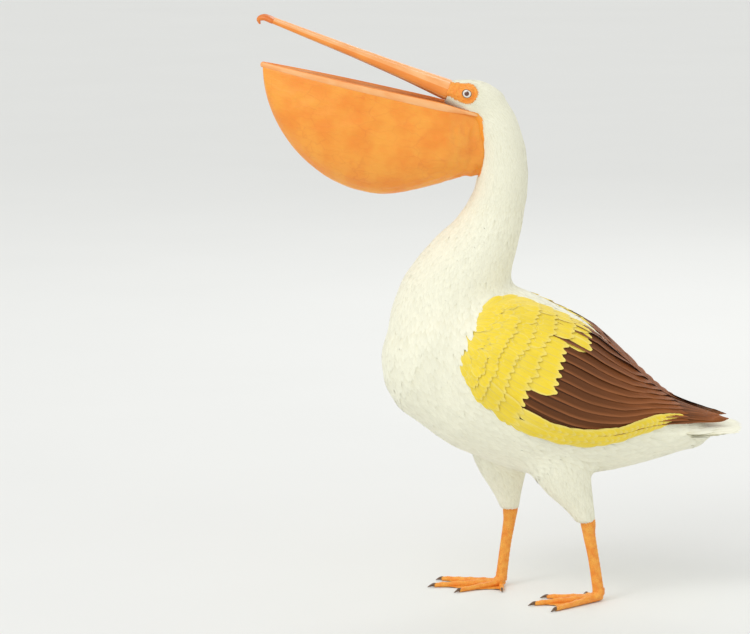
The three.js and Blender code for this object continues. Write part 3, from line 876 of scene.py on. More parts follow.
def bare_patch(side):
    """Bare skin with lids and folds, from the lids' rim to under the feathers and over the bill's root."""
    centre, axis, forward, up = eye_frame(side)
    turns = full_turn(PATCH_SIDES)
    ways = forward * np.cos(turns)[:, None] + up * np.sin(turns)[:, None]
    ball = EYE_RADIUS / MM
    far = 60

    def on_face(radius):
        levels = []
        for way, distance in zip(ways, radius):
            start = centre + (way * distance + axis * far) * MM
            hit = face_outline.ray_cast(Vector(start), Vector(-axis))
            levels.append(far - hit[3] / MM if hit[0] else 0)
        return np.array(levels)

    def ring(radius, level):
        return centre + ways * (radius * MM)[:, None] + axis * (level * MM)[:, None]

    opening = EYE_OPENING * (1 + 0.05 * np.cos(2 * turns)) - 0.8 * np.sin(turns).clip(0) ** 2
    rings = []
    for step, lift in LID:
        radius = opening + step
        rings.append(ring(radius, np.sqrt(np.maximum((ball + lift) ** 2 - radius**2, 1))))
    lid_edge = opening + LID[-1][0]
    lid_level = np.sqrt(np.maximum((ball + LID[-1][1]) ** 2 - lid_edge**2, 1))
    border = bare_reach(turns)
    for share in np.linspace(0.03, 1, 52):
        radius = lid_edge + (border + BARE_EDGE - lid_edge) * share
        spot = ring(radius, 0 * radius)
        wrinkle = 0.3 * np.sin((radius - opening) * math.tau / 2.6 + 1.3 * ripples(spot / MM, 12, 3))
        wrinkle += 0.35 * ripples(spot / MM, 5, 4)
        wrinkle *= smoothstep(0, 0.1, share) * (1 - smoothstep(-4, 0, radius - border))
        sink = 0.3 + 2.6 * smoothstep(-0.8, 1.6, radius - border)
        blend = smoothstep(0, 0.28, share)
        rings.append(ring(radius, lid_level * (1 - blend) + (on_face(radius) - sink) * blend + wrinkle))
    faces = grid_faces(len(rings), len(turns), True)
    return np.concatenate(rings), [faces if side > 0 else faces[:, ::-1]]


def from_eye(points):
    """Distance from the nearer eye's axis divided by the reach of the bare skin there: below 1 is bare."""
    gaps = []
    for side in SIDES.values():
        centre, _, forward, up = eye_frame(side)
        offset = (points - centre) / MM
        x, z = offset @ forward, offset @ up
        inside = np.hypot(x, z) / bare_reach(np.arctan2(z, x))
        gaps.append(np.where(points[:, 1] * side > 0, inside, 9))
    return np.minimum(*gaps)


def make_eyes():
    """Balls with enough sides to look round; the iris and pupil are in the material."""
    for name in SIDES:
        ball = bmesh.new()
        bmesh.ops.create_uvsphere(ball, u_segments=64, v_segments=40, radius=EYE_RADIUS)
        bmesh.ops.translate(ball, verts=ball.verts, vec=eyes[name])
        mesh = bpy.data.meshes.new(f"eyeball_{name}")
        ball.to_mesh(mesh)
        ball.free()
        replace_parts(finished(shown(mesh), EYE), f"eye_{name}")


make_upper_bill()
make_nail()
make_lower_bill()
make_eyes()


# ---- legs and feet ----
LEGS = {
    "left": {"side": -1, "x": 80, "lean": -20, "yaw": math.radians(18)},
    "right": {"side": 1, "x": -88, "lean": 16, "yaw": math.radians(6)},
}
TOES = {  # length, turn from the middle toe, half thickness at the root, and the joints along it
    "outer": (112, 27, 7.5, (0.3, 0.52, 0.72, 0.9)),
    "middle": (120, 0, 7.5, (0.36, 0.64, 0.88)),
    "inner": (92, -29, 7.0, (0.5, 0.86)),
    "hind": (46, -84, 5.5, (0.8,)),
}
CLAW_LENGTH = 13


def hexagons(across, along):
    """The height of six-sided scales, 0 in the grooves and 1 on the plates; one plate is 1 x 1."""
    best = np.full(across.shape, 9.0)
    second = best.copy()
    row = np.floor(along / 0.866)
    for step in (-1, 0, 1, 2):
        middle_row = row + step
        shift = 0.5 * (middle_row % 2)
        column = np.floor(across - shift)
        for more in (0, 1, -1, 2):
            distance = np.hypot(across - (column + more + shift), along - middle_row * 0.866)
            second = np.minimum(second, np.maximum(best, distance))
            best = np.minimum(best, distance)
    return smoothstep(0.0, 0.3, second - best)


def leg_frame(leg):
    return DESIGN @ Matrix.Translation((leg["x"] * MM, LEG_SPACING * leg["side"] * MM, 0))


def foot_frame(leg):
    return leg_frame(leg) @ Matrix.Rotation(leg["yaw"], 4, "Z")


def above_floor(points):
    """The same points, with those that would dip into the floor lifted just off it."""
    points[..., 2] = np.maximum(points[..., 2], 0.1)
    return points


def shank(leg):
    """The bare part of the leg, covered in small six-sided scales, with larger ones down its front."""
    lean = leg["lean"]
    middle = 0.5 * (SHANK_TOP + SHANK_FOOT)
    stations = [
        (lean * 1.25, SHANK_TOP + 34, 11.5, 9.5), (lean, SHANK_TOP + 2, 13.2, 11),
        (lean * 0.9, SHANK_TOP - 18, 11, 8.4), (lean * 0.5, middle, 9.6, 7.2),
        (lean * 0.12, 29, 9.8, 7.8), (0, 11, 10.4, 8.8),
    ]  # fmt: skip
    limb = Envelope(stations)
    rows, sides, length = 230, 84, 165
    scales_round, scale, plate = 15, 3.4, 5.5
    angles = full_turn(sides)
    shares = np.linspace(0, 1, rows)
    ahead = smoothstep(0.3, 0.9, np.sin(angles))
    height = shares * length
    small = hexagons(*np.broadcast_arrays(angles[None] / math.tau * scales_round, height[:, None] / scale))
    broad = smoothstep(0, 0.25, 0.5 - np.abs(height[:, None] / plate % 1 - 0.5) + 0 * angles[None])
    relief = 0.5 * (small * (1 - ahead) + broad * ahead) - 0.4
    points = np.stack([limb.point(share, angles, relief[j]) for j, share in enumerate(shares)])
    points, faces = tube(points)
    return placed(leg_frame(leg), points * MM), faces


def toe_way(turn, side):
    angle = math.radians(turn)
    return np.array([-math.cos(angle), math.sin(angle) * side, 0])


def along_toe(turn, side, reach, out, level):
    """Points at a reach along a toe, out across it and at a level above the floor, in millimetres."""
    way = toe_way(turn, side)
    across = np.array([-way[1], way[0], 0])
    points = way * reach[:, None, None] + across * out[..., None] + np.array([0, 0, 1]) * level[..., None]
    return above_floor(points)


def toe(length, turn, root, joints, side):
    """Swollen at its joints, flat below, with a row of plates across the top."""
    rows, sides, plate = 96, 36, 3.6
    shares = np.linspace(-0.07, 1.0, rows)
    angles = full_turn(sides)
    size = root * (1 - 0.42 * shares.clip(0))
    for joint in joints:
        size = size * (1 + 0.1 * bell((shares - joint) * length, 5))
    ends = np.sqrt(np.clip(1 - ((shares - 0.5) / 0.57).clip(-1, 1) ** 16, 0.02, 1))
    plates = 0.5 - np.abs(shares * length / plate % 1 - 0.5)
    relief = 0.45 * smoothstep(0, 0.22, plates)[:, None] * np.sin(angles).clip(0) - 0.25
    rise = np.where(np.sin(angles) > 0, np.sin(angles), np.sin(angles) * 0.78)
    half = size[:, None] * ends[:, None] + relief
    level = (size * 0.78)[:, None] + rise * half
    return tube(along_toe(turn, side, shares * length, np.cos(angles) * half, level))


def claw(length, turn, root, side):
    """A hooked cone that starts inside the toe's end."""
    shares = np.linspace(0, 1, 22)
    angles = full_turn(24)
    size = (root * 0.46 * (1 - shares**1.6) + 0.35)[:, None]
    middle = 4.0 + 1.4 * np.sin(shares * math.pi) * (1 - shares) - 3.2 * shares**2
    reach = length - 2.5 + (CLAW_LENGTH + 2) * shares
    level = middle[:, None] + np.sin(angles) * size
    return tube(along_toe(turn, side, reach, np.cos(angles) * size * 0.8, level))


def web(first, second, side, hollow):
    """A thin sheet between two toes, hollow along its free edge, with fine folds from root to edge."""
    rows, columns = 46, 40
    v, u = np.meshgrid(np.linspace(0, 1, rows), np.linspace(0, 1, columns), indexing="ij")
    ends = [toe_way(turn, side) * (length - 5) for length, turn, _, _ in (first, second)]
    reach = v * (1 - hollow * np.sin(math.pi * u) ** 0.8)
    plan = (ends[0] * (1 - u)[..., None] + ends[1] * u[..., None]) * reach[..., None]
    folds = 0.35 * np.sin(u * math.tau * 5 + 2 * ripples(plan.reshape(-1, 3), 40, 7).reshape(u.shape))
    folds += 0.25 * ripples(plan.reshape(-1, 3), 7, 9).reshape(u.shape)
    sag = 3.6 - 1.9 * np.sin(math.pi * u) + folds * np.sin(math.pi * u) * smoothstep(0, 0.4, v)
    top = plan + np.array([0, 0, 1]) * sag[..., None]
    bottom = plan + np.array([0, 0, 1]) * (sag - 1.1 + 0.5 * smoothstep(0.9, 1, v))[..., None]
    bottom[..., 2] = np.maximum(bottom[..., 2], 0.15)
    size = rows * columns
    i = np.arange(columns - 1) + (rows - 1) * columns
    lip = np.stack([i, i + 1, i + 1 + size, i + size], -1)
    turned = -1 if side > 0 else 1
    faces = [grid_faces(rows, columns), grid_faces(rows, columns, start=size)[:, ::-1], lip]
    return np.concatenate([top.reshape(-1, 3), bottom.reshape(-1, 3)]), [f[:, ::turned] for f in faces]


WEB_HOLLOWS = (0.2, 0.2, 0.3)  # how far each web's free edge draws back, as a share of the toes' length


def foot(leg):
    """Four toes, the three webs between them and the ankle, as one mesh."""
    side = leg["side"]
    toes = list(TOES.values())
    pieces = [toe(*sizes, side) for sizes in toes]
    pieces += [web(*pair, side, hollow) for *pair, hollow in zip(toes, toes[1:], WEB_HOLLOWS)]
    ankle = Envelope([(-14, 5.5, 6, 11), (-8, 8, 8.5, 11.5), (0, 14, 10.2, 10), (1, 24, 10, 8.4)])
    angles = full_turn(60)
    rings = []
    for share in np.linspace(0, 1, 50):
        plate = smoothstep(0, 0.25, 0.5 - abs(share * 5.5 % 1 - 0.5))
        rings.append(ankle.point(share, angles, 0.4 * plate * np.sin(angles) - 0.2))
    pieces.append(tube(above_floor(np.stack(rings))))
    points, faces = merged(pieces)
    return placed(foot_frame(leg), points * MM), faces


def make_claws():
    for name, leg in LEGS.items():
        for toe_name, (length, turn, root, _) in TOES.items():
            points, faces = claw(length, turn, root, leg["side"])
            points = placed(foot_frame(leg), points * MM)
            piece = mesh_piece(f"claw_horn_{name}_{toe_name}", points, faces)
            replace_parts(finished(piece, CLAW), f"claw_{name}_{toe_name}")


make_claws()


# ---- the one skin over flesh, bare face, pouch, legs and feet ----
SKIN_LOOKS = {  # the skin's materials, by what they show on
    "body": WHITE_DOWN, "coverts": STRAW_DOWN, "flight": DARK_DOWN, "face": BARE, "mouth": MOUTH,
    "pouch": POUCH, "lining": POUCH_LINING, "legs": SCALES, "lid_edge": LID_SHADE,
}  # fmt: skip
SLOT = {name: place for place, name in enumerate(SKIN_LOOKS)}


def flesh_slots():
    """Which material each face of the fused flesh has; bare colours run on a little under the feathers."""
    middles = skin_points[skin_faces].mean(1)
    x, _, z = within(HEAD, middles)
    zones = part_of_point[skin_faces[:, 0]]
    on_head = zones == PART["head"]
    slots = np.full(len(skin_faces), SLOT["body"])
    slots[zones == PART["wing"]] = SLOT["coverts"]
    past_end = middles[:, 0] > DESIGN.translation.x + (WING_SKIN_END - 12) * MM
    slots[(zones == PART["flight"]) & ~past_end] = SLOT["flight"]
    bare = from_eye(middles) < 1.12
    slots[bare & on_head] = SLOT["face"]
    behind_bill = (x < BILL_ROOT + 3) & on_head
    slots[behind_bill & (z < 8)] = SLOT["face"]
    slots[behind_bill & (z < -12)] = SLOT["mouth"]
    slots[in_pouch(middles, 3)] = SLOT["pouch"]
    return slots


def make_skin():
    """The fused flesh with the bare face, pouch, legs and feet as one mesh, and its nine materials."""
    parts = [(skin_points, [skin_faces])]
    slots = [flesh_slots()]
    for side in SIDES.values():
        patch = bare_patch(side)
        parts.append(patch)
        # The patch's innermost rings take the lids' painted shade.
        in_lid_shade = np.arange(len(patch[1][0])) < LID_SHADE_RINGS * PATCH_SIDES
        slots.append(np.where(in_lid_shade, SLOT["lid_edge"], SLOT["face"]))
    points, faces, inside = make_pouch()
    parts.append((points, faces))
    slots.append(np.where(inside, SLOT["lining"], SLOT["pouch"]))
    for leg in LEGS.values():
        for limb in (shank(leg), foot(leg)):
            parts.append(limb)
            slots.append(np.full(sum(map(len, limb[1])), SLOT["legs"]))
    points, faces = merged(parts)
    piece = mesh_piece("skin", points, faces)
    finished(piece, *SKIN_LOOKS.values(), slots=np.concatenate(slots))
    limbs = [f"{limb}_{name}" for limb in ("thigh", "shank", "foot", "wing") for name in SIDES]
    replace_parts(piece, "trunk", "neck_lower", "neck_upper", "head", "pouch", *limbs)
    return piece


skin = make_skin()


# ---- the skin as a place for feathers ----
skin_tree = BVHTree.FromPolygons(skin_points.tolist(), skin_faces.tolist())
skin_normals = normals_of(skin_points, skin_faces)


def unwrap_skin():
    """Maps the whole skin by its own shape, and returns the map of the fused flesh for the feathers."""
    bpy.context.view_layer.objects.active = skin
    skin.select_set(True)
    skin.data.uv_layers.new(name="OFBake")
    bpy.ops.object.mode_set(mode="EDIT")
    bpy.ops.mesh.select_all(action="SELECT")
    bpy.ops.uv.smart_project(angle_limit=math.radians(66), island_margin=0.002)
    bpy.ops.object.mode_set(mode="OBJECT")
    skin.select_set(False)
    uv = np.empty(len(skin.data.loops) * 2)
    skin.data.uv_layers["OFBake"].data.foreach_get("uv", uv)
    return uv.reshape(-1, 2)[: skin_faces.size].reshape(-1, 4, 2)


skin_uv = unwrap_skin()


def wing_edges(along):
    """The angles round the body of a folded wing's lower and upper edge, in degrees, from wrist to tip."""
    edges = [(6, 40), (-14, 64), (-22, 74), (-23, 78), (-15, 80), (5, 80), (29, 77), (50, 66)]
    return np.moveaxis(smooth_curve(edges)(along), -1, 0)


def wing_point(along, across, side, rise):
    """A place on a folded wing: along from the wrist, across from its lower edge, and a rise above it."""
    low, high = wing_edges(along)
    domed = np.sqrt(np.maximum(0, 1 - (2 * across - 1) ** 4))
    ends = np.minimum(1, along / 0.18) ** 0.5 * (1 - 0.8 * along**3)
    angle = np.radians(low + (high - low) * across)
    (wrist, tip), (at_edges, in_middle) = WING_SHARES, WING_RISE
    out = at_edges + (in_middle - at_edges) * domed * ends + rise
    points = BODY.point(wrist + (tip - wrist) * along, angle, out)
    return in_design(points * [1, side, 1])


def lie_path():
    """Places down the bird's middle from the bill's root to the tail, and which way feathers lie there."""
    stations = [
        (-195, 899), (-140, 876), (-108, 845), (-92, 790), (-94, 714), (-120, 642), (-150, 560), (-150, 490),
        (-116, 430), (-60, 385), (-4, 356), (92, 321), (165, 304), (235, 297), (330, 300),
    ]  # fmt: skip
    curve, shares, step = smooth_curve(stations), np.linspace(0, 1, 140), 1e-3
    places, ways = (
        np.stack([plan[:, 0], 0 * plan[:, 0], plan[:, 1]], -1)
        for plan in (curve(shares), curve(shares + step) - curve(shares - step))
    )
    return in_design(places), unit(ways)


def lie_of(points, normals, weights):
    """Which way feathers lie: back over the head, down the neck and along the body, down the thighs."""
    path, ways = lie_path()
    flow = np.empty_like(points)
    blur, at_once = 30 * MM, 4000
    for start in range(0, len(points), at_once):
        block = slice(start, start + at_once)
        gaps = ((points[block, None] - path[None]) ** 2).sum(-1)
        share = np.exp(-(gaps - gaps.min(1, keepdims=True)) / blur**2)
        flow[block] = share @ ways / share.sum(1, keepdims=True)
    thigh = weights[:, [PART["thigh"]]]
    flow = flow * (1 - thigh) + np.array([0.25, 0, -1]) * thigh
    tail = weights[:, [PART["tail"]]]
    flow = flow * (1 - tail) + np.array([1, 0, 0]) * tail
    return unit(flow - normals * dot(flow, normals))


# What grows on each part, in millimetres: spacing, length, width and how far the tips stand above the skin.
PLUMAGE = {
    "head": (1.3, 8.5, 1.9, 0.75), "neck_upper": (1.9, 16, 2.7, 1.3), "neck_lower": (3.7, 28, 7.6, 2.5),
    "trunk": (5.0, 44, 12.5, 4.2), "thigh": (2.9, 20, 4.6, 2.2), "wing": (7.0, 32, 15, 6.4),
    "flight": (6.5, 34, 15, 3.4), "tail": (3.3, 26, 6.0, 1.6),
}  # fmt: skip


def search_tree(points):
    tree = KDTree(len(points))
    for i, point in enumerate(points):
        tree.insert(point, i)
    tree.balance()
    return tree


def spread_roots(faces, spacing):
    """Random places on the skin's faces, each as far from its neighbours as the spacing there says."""
    crowd = 9  # how many places are drawn for each that finds room
    area = 0.5 * np.linalg.norm(face_normals(skin_points, faces), axis=1)
    gap = spacing[faces].mean(1)
    wanted = area / gap**2 * crowd
    picked = np.repeat(np.arange(len(faces)), rng.poisson(wanted))
    picked = picked[rng.permutation(len(picked))]
    u, v = rng.random((2, len(picked), 1))
    weights = np.stack([(1 - u) * (1 - v), u * (1 - v), u * v, (1 - u) * v], 1)
    points = (skin_points[faces[picked]] * weights).sum(1)
    tree = search_tree(points)
    free = np.ones(len(points), bool)
    kept = []
    for i, reach in enumerate(gap[picked]):
        if free[i]:
            kept.append(i)
            for _, j, _ in tree.find_range(points[i], reach):
                free[j] = False
    kept = np.array(kept)
    return picked[kept], weights[kept], points[kept]


def through(places, t):
    """Points at shares t on the smooth curves through evenly spread places: (curves, places, 3)."""
    last = places.shape[1] - 1
    ends = [2 * places[:, :1] - places[:, 1:2], places, 2 * places[:, -1:] - places[:, -2:-1]]
    knots = np.concatenate(ends, 1)
    k = np.clip((t * last).astype(int), 0, last - 1)
    f = (t * last - k)[..., None]
    row = np.arange(len(places)).reshape(-1, *[1] * (t.ndim - 1))
    p0, p1, p2, p3 = (knots[row, k + i] for i in range(4))
    return p1 + 0.5 * f * (p2 - p0 + f * (2 * p0 - 5 * p1 + 4 * p2 - p3 + f * (3 * (p1 - p2) + p3 - p0)))


class Vanes:
    """Feathers of one outline, widest at a share of their length and rounded or pointed behind that."""

    def __init__(self, rows, columns, root=0.4, widest=0.6, tip=2.4, ragged=0.0, **form):
        self.rows, self.columns = np.array(rows), np.linspace(-1, 1, columns)
        before = root + (1 - root) * np.sin(math.pi / 2 * np.minimum(1, self.rows / widest))
        after = ((self.rows - widest) / (1 - widest)).clip(0, 1)
        self.halves = before * np.maximum(0.1, (1 - after**tip).clip(0)) ** 0.5
        self.ragged = ragged
        self.arch = form.get("arch", 0.16)  # how far the edges drop below the shaft
        self.bend = form.get("bend", 0.75)  # below 1 the feather rises soonest near its root
        self.swept = form.get("swept", 0.05)  # how far the tip's edges lie behind its middle
        self.soft = form.get("soft", 0.0)  # how much of the shading is the skin's instead of the vane's
        self.dip = form.get("dip", 0.0)  # how far the tip comes down again
        self.tilt = form.get("tilt", 0.0)  # how far one edge stands above the other

    def points(self, paths, normals, widths, lifts):
        """paths and normals are (feathers, places, 3) along the skin; lifts are the tips' heights."""
        t = np.broadcast_to(self.rows[:, None], (len(paths), len(self.rows), len(self.columns)))
        late = self.rows[:, None] ** 4
        t = t - self.swept * self.columns**2 * late + rng.normal(0, self.ragged, t.shape) * late
        place, up = through(paths, t), unit(through(normals, t))
        along = unit(through(paths, t + 0.02) - through(paths, t - 0.02))
        side = unit(np.cross(along, up))
        half = (self.halves * widths[:, None] / 2)[:, :, None, None]
        across = self.columns[:, None]
        rise = t[..., None].clip(0, 1) ** self.bend * (1 - self.dip * t[..., None] ** 6)
        height = lifts[:, None, None, None] * rise - half * (self.arch * across**2 + self.tilt * across)
        own = unit(np.cross(side - up * (2 * self.arch * across + self.tilt), along))
        self.shading = unit(up * self.soft + own * (1 - self.soft))
        return place + side * across * half + up * (height + 0.3 * MM)


SOFT = Vanes([0, 0.35, 0.7, 0.9, 1], 5, 0.5, 0.45, 1.5, 0.04, arch=0.2, soft=0.7, dip=0.4)
CONTOUR = Vanes([0, 0.3, 0.55, 0.75, 0.88, 1], 7, 0.4, 0.5, 1.7, 0.04, soft=0.6, dip=0.3)
SHORT = [0, 0.2, 0.4, 0.6, 0.75, 0.86, 0.94]
COVERT = Vanes([*SHORT, 0.98, 1], 7, 0.4, 0.62, 2.6, 0.003, soft=0.3)
TAIL_COVERT = Vanes([*SHORT, 1], 7, 0.4, 0.55, 1.9, 0.008, soft=0.6, dip=0.3)
EDGE = Vanes([*SHORT, 0.98, 1], 7, 0.4, 0.62, 2.6, 0.003, bend=0.25, soft=0.3)
LONG = [*np.linspace(0, 0.86, 22), 0.9, 0.94, 0.97, 0.99, 1]
FLAT = {"arch": 0.05, "bend": 0.4, "swept": 0.035, "soft": 0.2}
QUILLS = {side: Vanes(LONG, 7, 0.45, 0.35, 5.0, 0.0008, tilt=0.11 * side, **FLAT) for side in (-1, 0, 1)}


PATCH = 0.003  # how wide each feather's patch is on the skin's map


def coat_piece(name, kind, paths, normals, widths, lifts, uvs, material, *replaced):
    """Joins feathers of one kind into one mesh, with the tints and vane map that the material reads, and each
    feather's patch on the OFBake map.
    """
    points = kind.points(paths, normals, widths, lifts)
    count, rows, columns, _ = points.shape
    faces = grid_faces(rows, columns)[None] + (np.arange(count) * rows * columns)[:, None, None]
    faces = faces.reshape(-1, 4)
    piece = mesh_piece(name, points.reshape(-1, 3), faces)
    spot = np.stack(np.broadcast_arrays((kind.columns + 1) / 2, kind.rows[:, None]), -1)
    spots = np.broadcast_to(spot, (count, rows, columns, 2))
    patches = uvs[:, None, None] + (spots - 0.5) * PATCH
    for layer, values in (("OFBake", patches), ("vane", spots)):
        uv = piece.data.uv_layers.new(name=layer)
        uv.data.foreach_set("uv", values.reshape(-1, 2)[faces.ravel()].astype(np.float32).ravel())
    piece.data.normals_split_custom_set_from_vertices(kind.shading.reshape(-1, 3).tolist())
    tint = piece.data.attributes.new("tint", "FLOAT", "POINT")
    tint.data.foreach_set("value", np.repeat(rng.random(count), rows * columns).astype(np.float32))
    finished(piece, material)
    if replaced:
        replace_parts(piece, *replaced)


def on_skin(points):
    """The nearest places on the skin, their normals and their places on the unwrap."""
    places, normals, uvs = [], [], []
    for point in points:
        place, _, face, _ = skin_tree.find_nearest(point)
        corners = skin_faces[face]
        weights = 1 / (np.linalg.norm(skin_points[corners] - np.array(place), axis=1) + 1e-5)
        weights /= weights.sum()
        places.append(place)
        normals.append(weights @ skin_normals[corners])
        uvs.append(weights @ skin_uv[face])
    return np.array(places), unit(np.array(normals)), np.array(uvs)


def followed(roots, ways, lengths, normals):
    """Paths over the skin: each feather's root, middle and tip, and the normals there."""
    middle, middle_normals, _ = on_skin(roots + ways * lengths[:, None] * 0.5)
    tips, tip_normals, _ = on_skin(middle + unit(middle - roots) * lengths[:, None] * 0.5)
    return np.stack([roots, middle, tips], 1), np.stack([normals, middle_normals, tip_normals], 1)


def bare_faces(middles, zones):
    """Where no small feathers grow: bare skin, and what the long feathers of the wings and tail cover."""
    bare = from_eye(middles) < 1.0
    bare |= in_pouch(middles)
    x, _, z = within(HEAD, middles)
    bare |= (x < BILL_ROOT + np.where(z > 8, 0, 3)) & (zones[:, 0] == PART["head"])
    x, y, z = within(DESIGN, middles)
    wide = np.interp(x, TAIL_SHAPE[:, 0], TAIL_SHAPE[:, 3])
    fan = (x > 240) & (np.abs(y) < 0.72 * wide) | (x > 275)
    fan &= (z > 290) | (zones[:, 0] != PART["trunk"])  # the trunk's rear end has feathers below
    fan |= (x > 248) & (z > 299)  # and the upper side of the tail has none
    rows = (zones == PART["wing"]).all(1) & (behind_coverts(middles) > -COVERT_ROWS)
    return bare | fan | rows | (zones == PART["flight"]).any(1)


def feather_ways(roots, normals, weights, eye_gap):
    """Which way each feather points: as its part's feathers lie, but away from the ring round the eye."""
    ways = wing_lie(roots, lie_of(roots, normals, weights), normals, weights)
    from_ring = unit(roots - np.where(roots[:, 1:2] < 0, eyes["left"], eyes["right"]))
    ways = ways + from_ring * (1 - smoothstep(1.0, 1.3, eye_gap))[:, None]
    ways = ways + np.cross(normals, ways) * rng.normal(0, 0.07, (len(roots), 1))
    return unit(ways - normals * dot(ways, normals))


COATS = (  # each piece's name, the parts it grows on, its kind of feather, their material, and its side or 0
    ("head", ["head"], SOFT, WHITE_VANE, 0),
    ("neck_upper", ["neck_upper"], SOFT, WHITE_VANE, 0),
    ("neck_left", ["neck_lower"], CONTOUR, WHITE_VANE, -1),
    ("neck_right", ["neck_lower"], CONTOUR, WHITE_VANE, 1),
    ("thighs", ["thigh"], SOFT, WHITE_VANE, 0),
    ("rump", ["tail"], SOFT, WHITE_VANE, 0),
    ("shoulders", ["wing"], CONTOUR, STRAW_VANE, 0),
    ("left", ["trunk", "flight"], CONTOUR, WHITE_VANE, -1),
    ("right", ["trunk", "flight"], CONTOUR, WHITE_VANE, 1),
)


def grow_plumage():
    """The small feathers all over the skin, in nine pieces."""
    spacing, length, width, lift = (near @ np.array([PLUMAGE[part] for part in PARTS]) * MM).T
    feathered = ~bare_faces(skin_points[skin_faces].mean(1), part_of_point[skin_faces])
    faces = skin_faces[feathered]
    picked, shares, roots = spread_roots(faces, spacing)
    corners = faces[picked]

    def at_roots(values):
        return (values[corners] * (shares if values.ndim == 2 else shares[..., 0])).sum(1)

    normals, weights = unit(at_roots(skin_normals)), at_roots(near)
    lengths, widths, lifts = at_roots(length), at_roots(width), at_roots(lift)
    uvs = (skin_uv[feathered][picked] * shares).sum(1)
    eye_gap = from_eye(roots)
    ways = feather_ways(roots, normals, weights, eye_gap)
    # They are short round the eye and at the bill's root, and long down the nape.
    on_head, on_neck = (weights[:, PART[part]] for part in ("head", "neck_upper"))
    x, _, z = within(HEAD, roots)
    short = 1 - 0.45 * on_head * np.maximum(1 - smoothstep(1.0, 1.5, eye_gap), 1 - smoothstep(-50, -20, x))
    nape = smoothstep(18, 45, x) * smoothstep(-25, 10, z) * (on_head + on_neck)
    scale = rng.normal(1, 0.07, len(roots)).clip(0.8, 1.2)
    lengths, widths = lengths * short * scale * (1 + 0.9 * nape), widths * (0.5 + 0.5 * short) * scale
    lifts = lifts * short * rng.normal(1, 0.04, len(roots)).clip(0.9, 1.1)
    paths, path_normals = followed(roots, ways, lengths, normals)
    # Those beside the wing, and those that would bend over a sharp edge or into the pouch, are left out.
    part = np.array(PARTS)[weights.argmax(1)]
    under_wing = (weights[:, PART["wing"]] > 0.25) & (part != "wing")
    over_edge = (path_normals[:, 0] * path_normals[:, 2]).sum(-1) < 0.3
    part[under_wing | over_edge | in_pouch(paths[:, 2])] = ""
    sides = np.where(roots[:, 1] < 0, -1, 1)
    for name, grows_on, kind, material, side in COATS:
        chosen = np.isin(part, grows_on) & (sides * side >= 0)
        values = (array[chosen] for array in (paths, path_normals, widths, lifts, uvs))
        coat_piece(f"coat_{name}", kind, *values, material)


def wing_lie(points, ways, normals, weights):
    """On the wings feathers lie along the rows from the wrist to the tip."""
    on_wing = weights[:, PART["wing"]] + weights[:, PART["flight"]]
    along, across = (grid.ravel() for grid in np.meshgrid(np.linspace(0.02, 0.97, 70), np.linspace(0, 1, 40)))
    for side in SIDES.values():
        spots = wing_point(along, across, side, 0)
        flow = unit(wing_point(along + 0.01, across, side, 0) - spots)
        tree = search_tree(spots)
        chosen = np.nonzero((on_wing > 0.05) & (points[:, 1] * side > 0))[0]
        found = flow[[tree.find(point)[1] for point in points[chosen]]]
        share = on_wing[chosen, None]
        ways[chosen] = ways[chosen] * (1 - share) + found * share
    return unit(ways - normals * dot(ways, normals))


# ---- the long feathers of the wings and the tail, in rows ----
def behind_coverts(points):
    """How far points lie behind the line of the greater coverts' tips, in millimetres; negative is ahead."""
    x, _, z = within(DESIGN, points)
    return (x - COVERT_LINE[0]) * math.cos(COVERT_SLANT) - (z - COVERT_LINE[1]) * math.sin(COVERT_SLANT)


COVERT_ROWS = 92  # how far ahead of that line the coverts stand in rows
WING_SPAN = 480  # from wrist to tip
steps = np.linspace(0, 1, 200)
line_across = np.linspace(0, 1, 24)
line_gaps = [behind_coverts(wing_point(steps, 0 * steps + across, 1, 0)) for across in line_across]
line_along = np.array([np.interp(0, gaps, steps) for gaps in line_gaps])


def covert_line(across):
    """How far along the wing the line of the greater coverts' tips lies, by the place across it."""
    return np.interp(across, line_across, line_along)


def wing_row(name, kind, along, across, side, widths, lifts, material, *replaced):
    """Feathers on a wing along paths in its own coordinates: along and across are (feathers, places)."""
    found = on_skin(wing_point(along.ravel(), across.ravel(), side, 0))
    spots, normals, uvs = (values.reshape(*along.shape, -1) for values in found)
    coat_piece(name, kind, spots, normals, widths, lifts, uvs[:, 0], material, *replaced)


def make_coverts(name, side):
    """Four rows of coverts, longest behind, whose tips step along the slanting line."""
    rows = (  # how far each is ahead of the line, the feathers' length and width, their count and lift
        (0, 72, 27, 19, 5.2), (27, 54, 24, 20, 6.2), (51, 44, 21, 22, 6.9), (73, 37, 18, 23, 7.3),
    )  # fmt: skip
    for number, (ahead, length, width, count, lift) in enumerate(rows):
        across = (np.arange(count) + 0.5 * (1 + number % 2 * 0.6)) / (count + 0.3)
        teeth = 17 * (1 - 2 * ((across * 2.6 + 0.2) % 1)) * (1 - number / 5)
        tips = covert_line(across) + (teeth - ahead + rng.normal(0, 1.5, count)) / WING_SPAN
        shares = np.linspace(0, 1, 6)
        along = tips[:, None] - length / WING_SPAN * (1 - shares)
        sizes = np.full(count, width) * rng.normal(1, 0.04, count) * MM
        lifts = np.full(count, lift) * MM
        wide = np.repeat(across[:, None], 6, 1)
        wing_row(f"coverts_{name}_{number}", COVERT, along, wide, side, sizes, lifts, STRAW_VANE)


EDGE_STRIP = 0.14  # the share of the wing's width that yellow coverts take along its lower edge


def quill_across(order, count, along):
    """Where flight feathers lie across the wing: evenly spread at its widest, and no closer behind that."""
    low, high = wing_edges(steps)
    spread = np.interp(along, steps, np.maximum.accumulate(high - low) / (high - low))
    strip = EDGE_STRIP * (1 - smoothstep(0.7, 0.92, along))
    return strip + (1 - strip) * (order + 0.5) / count * spread


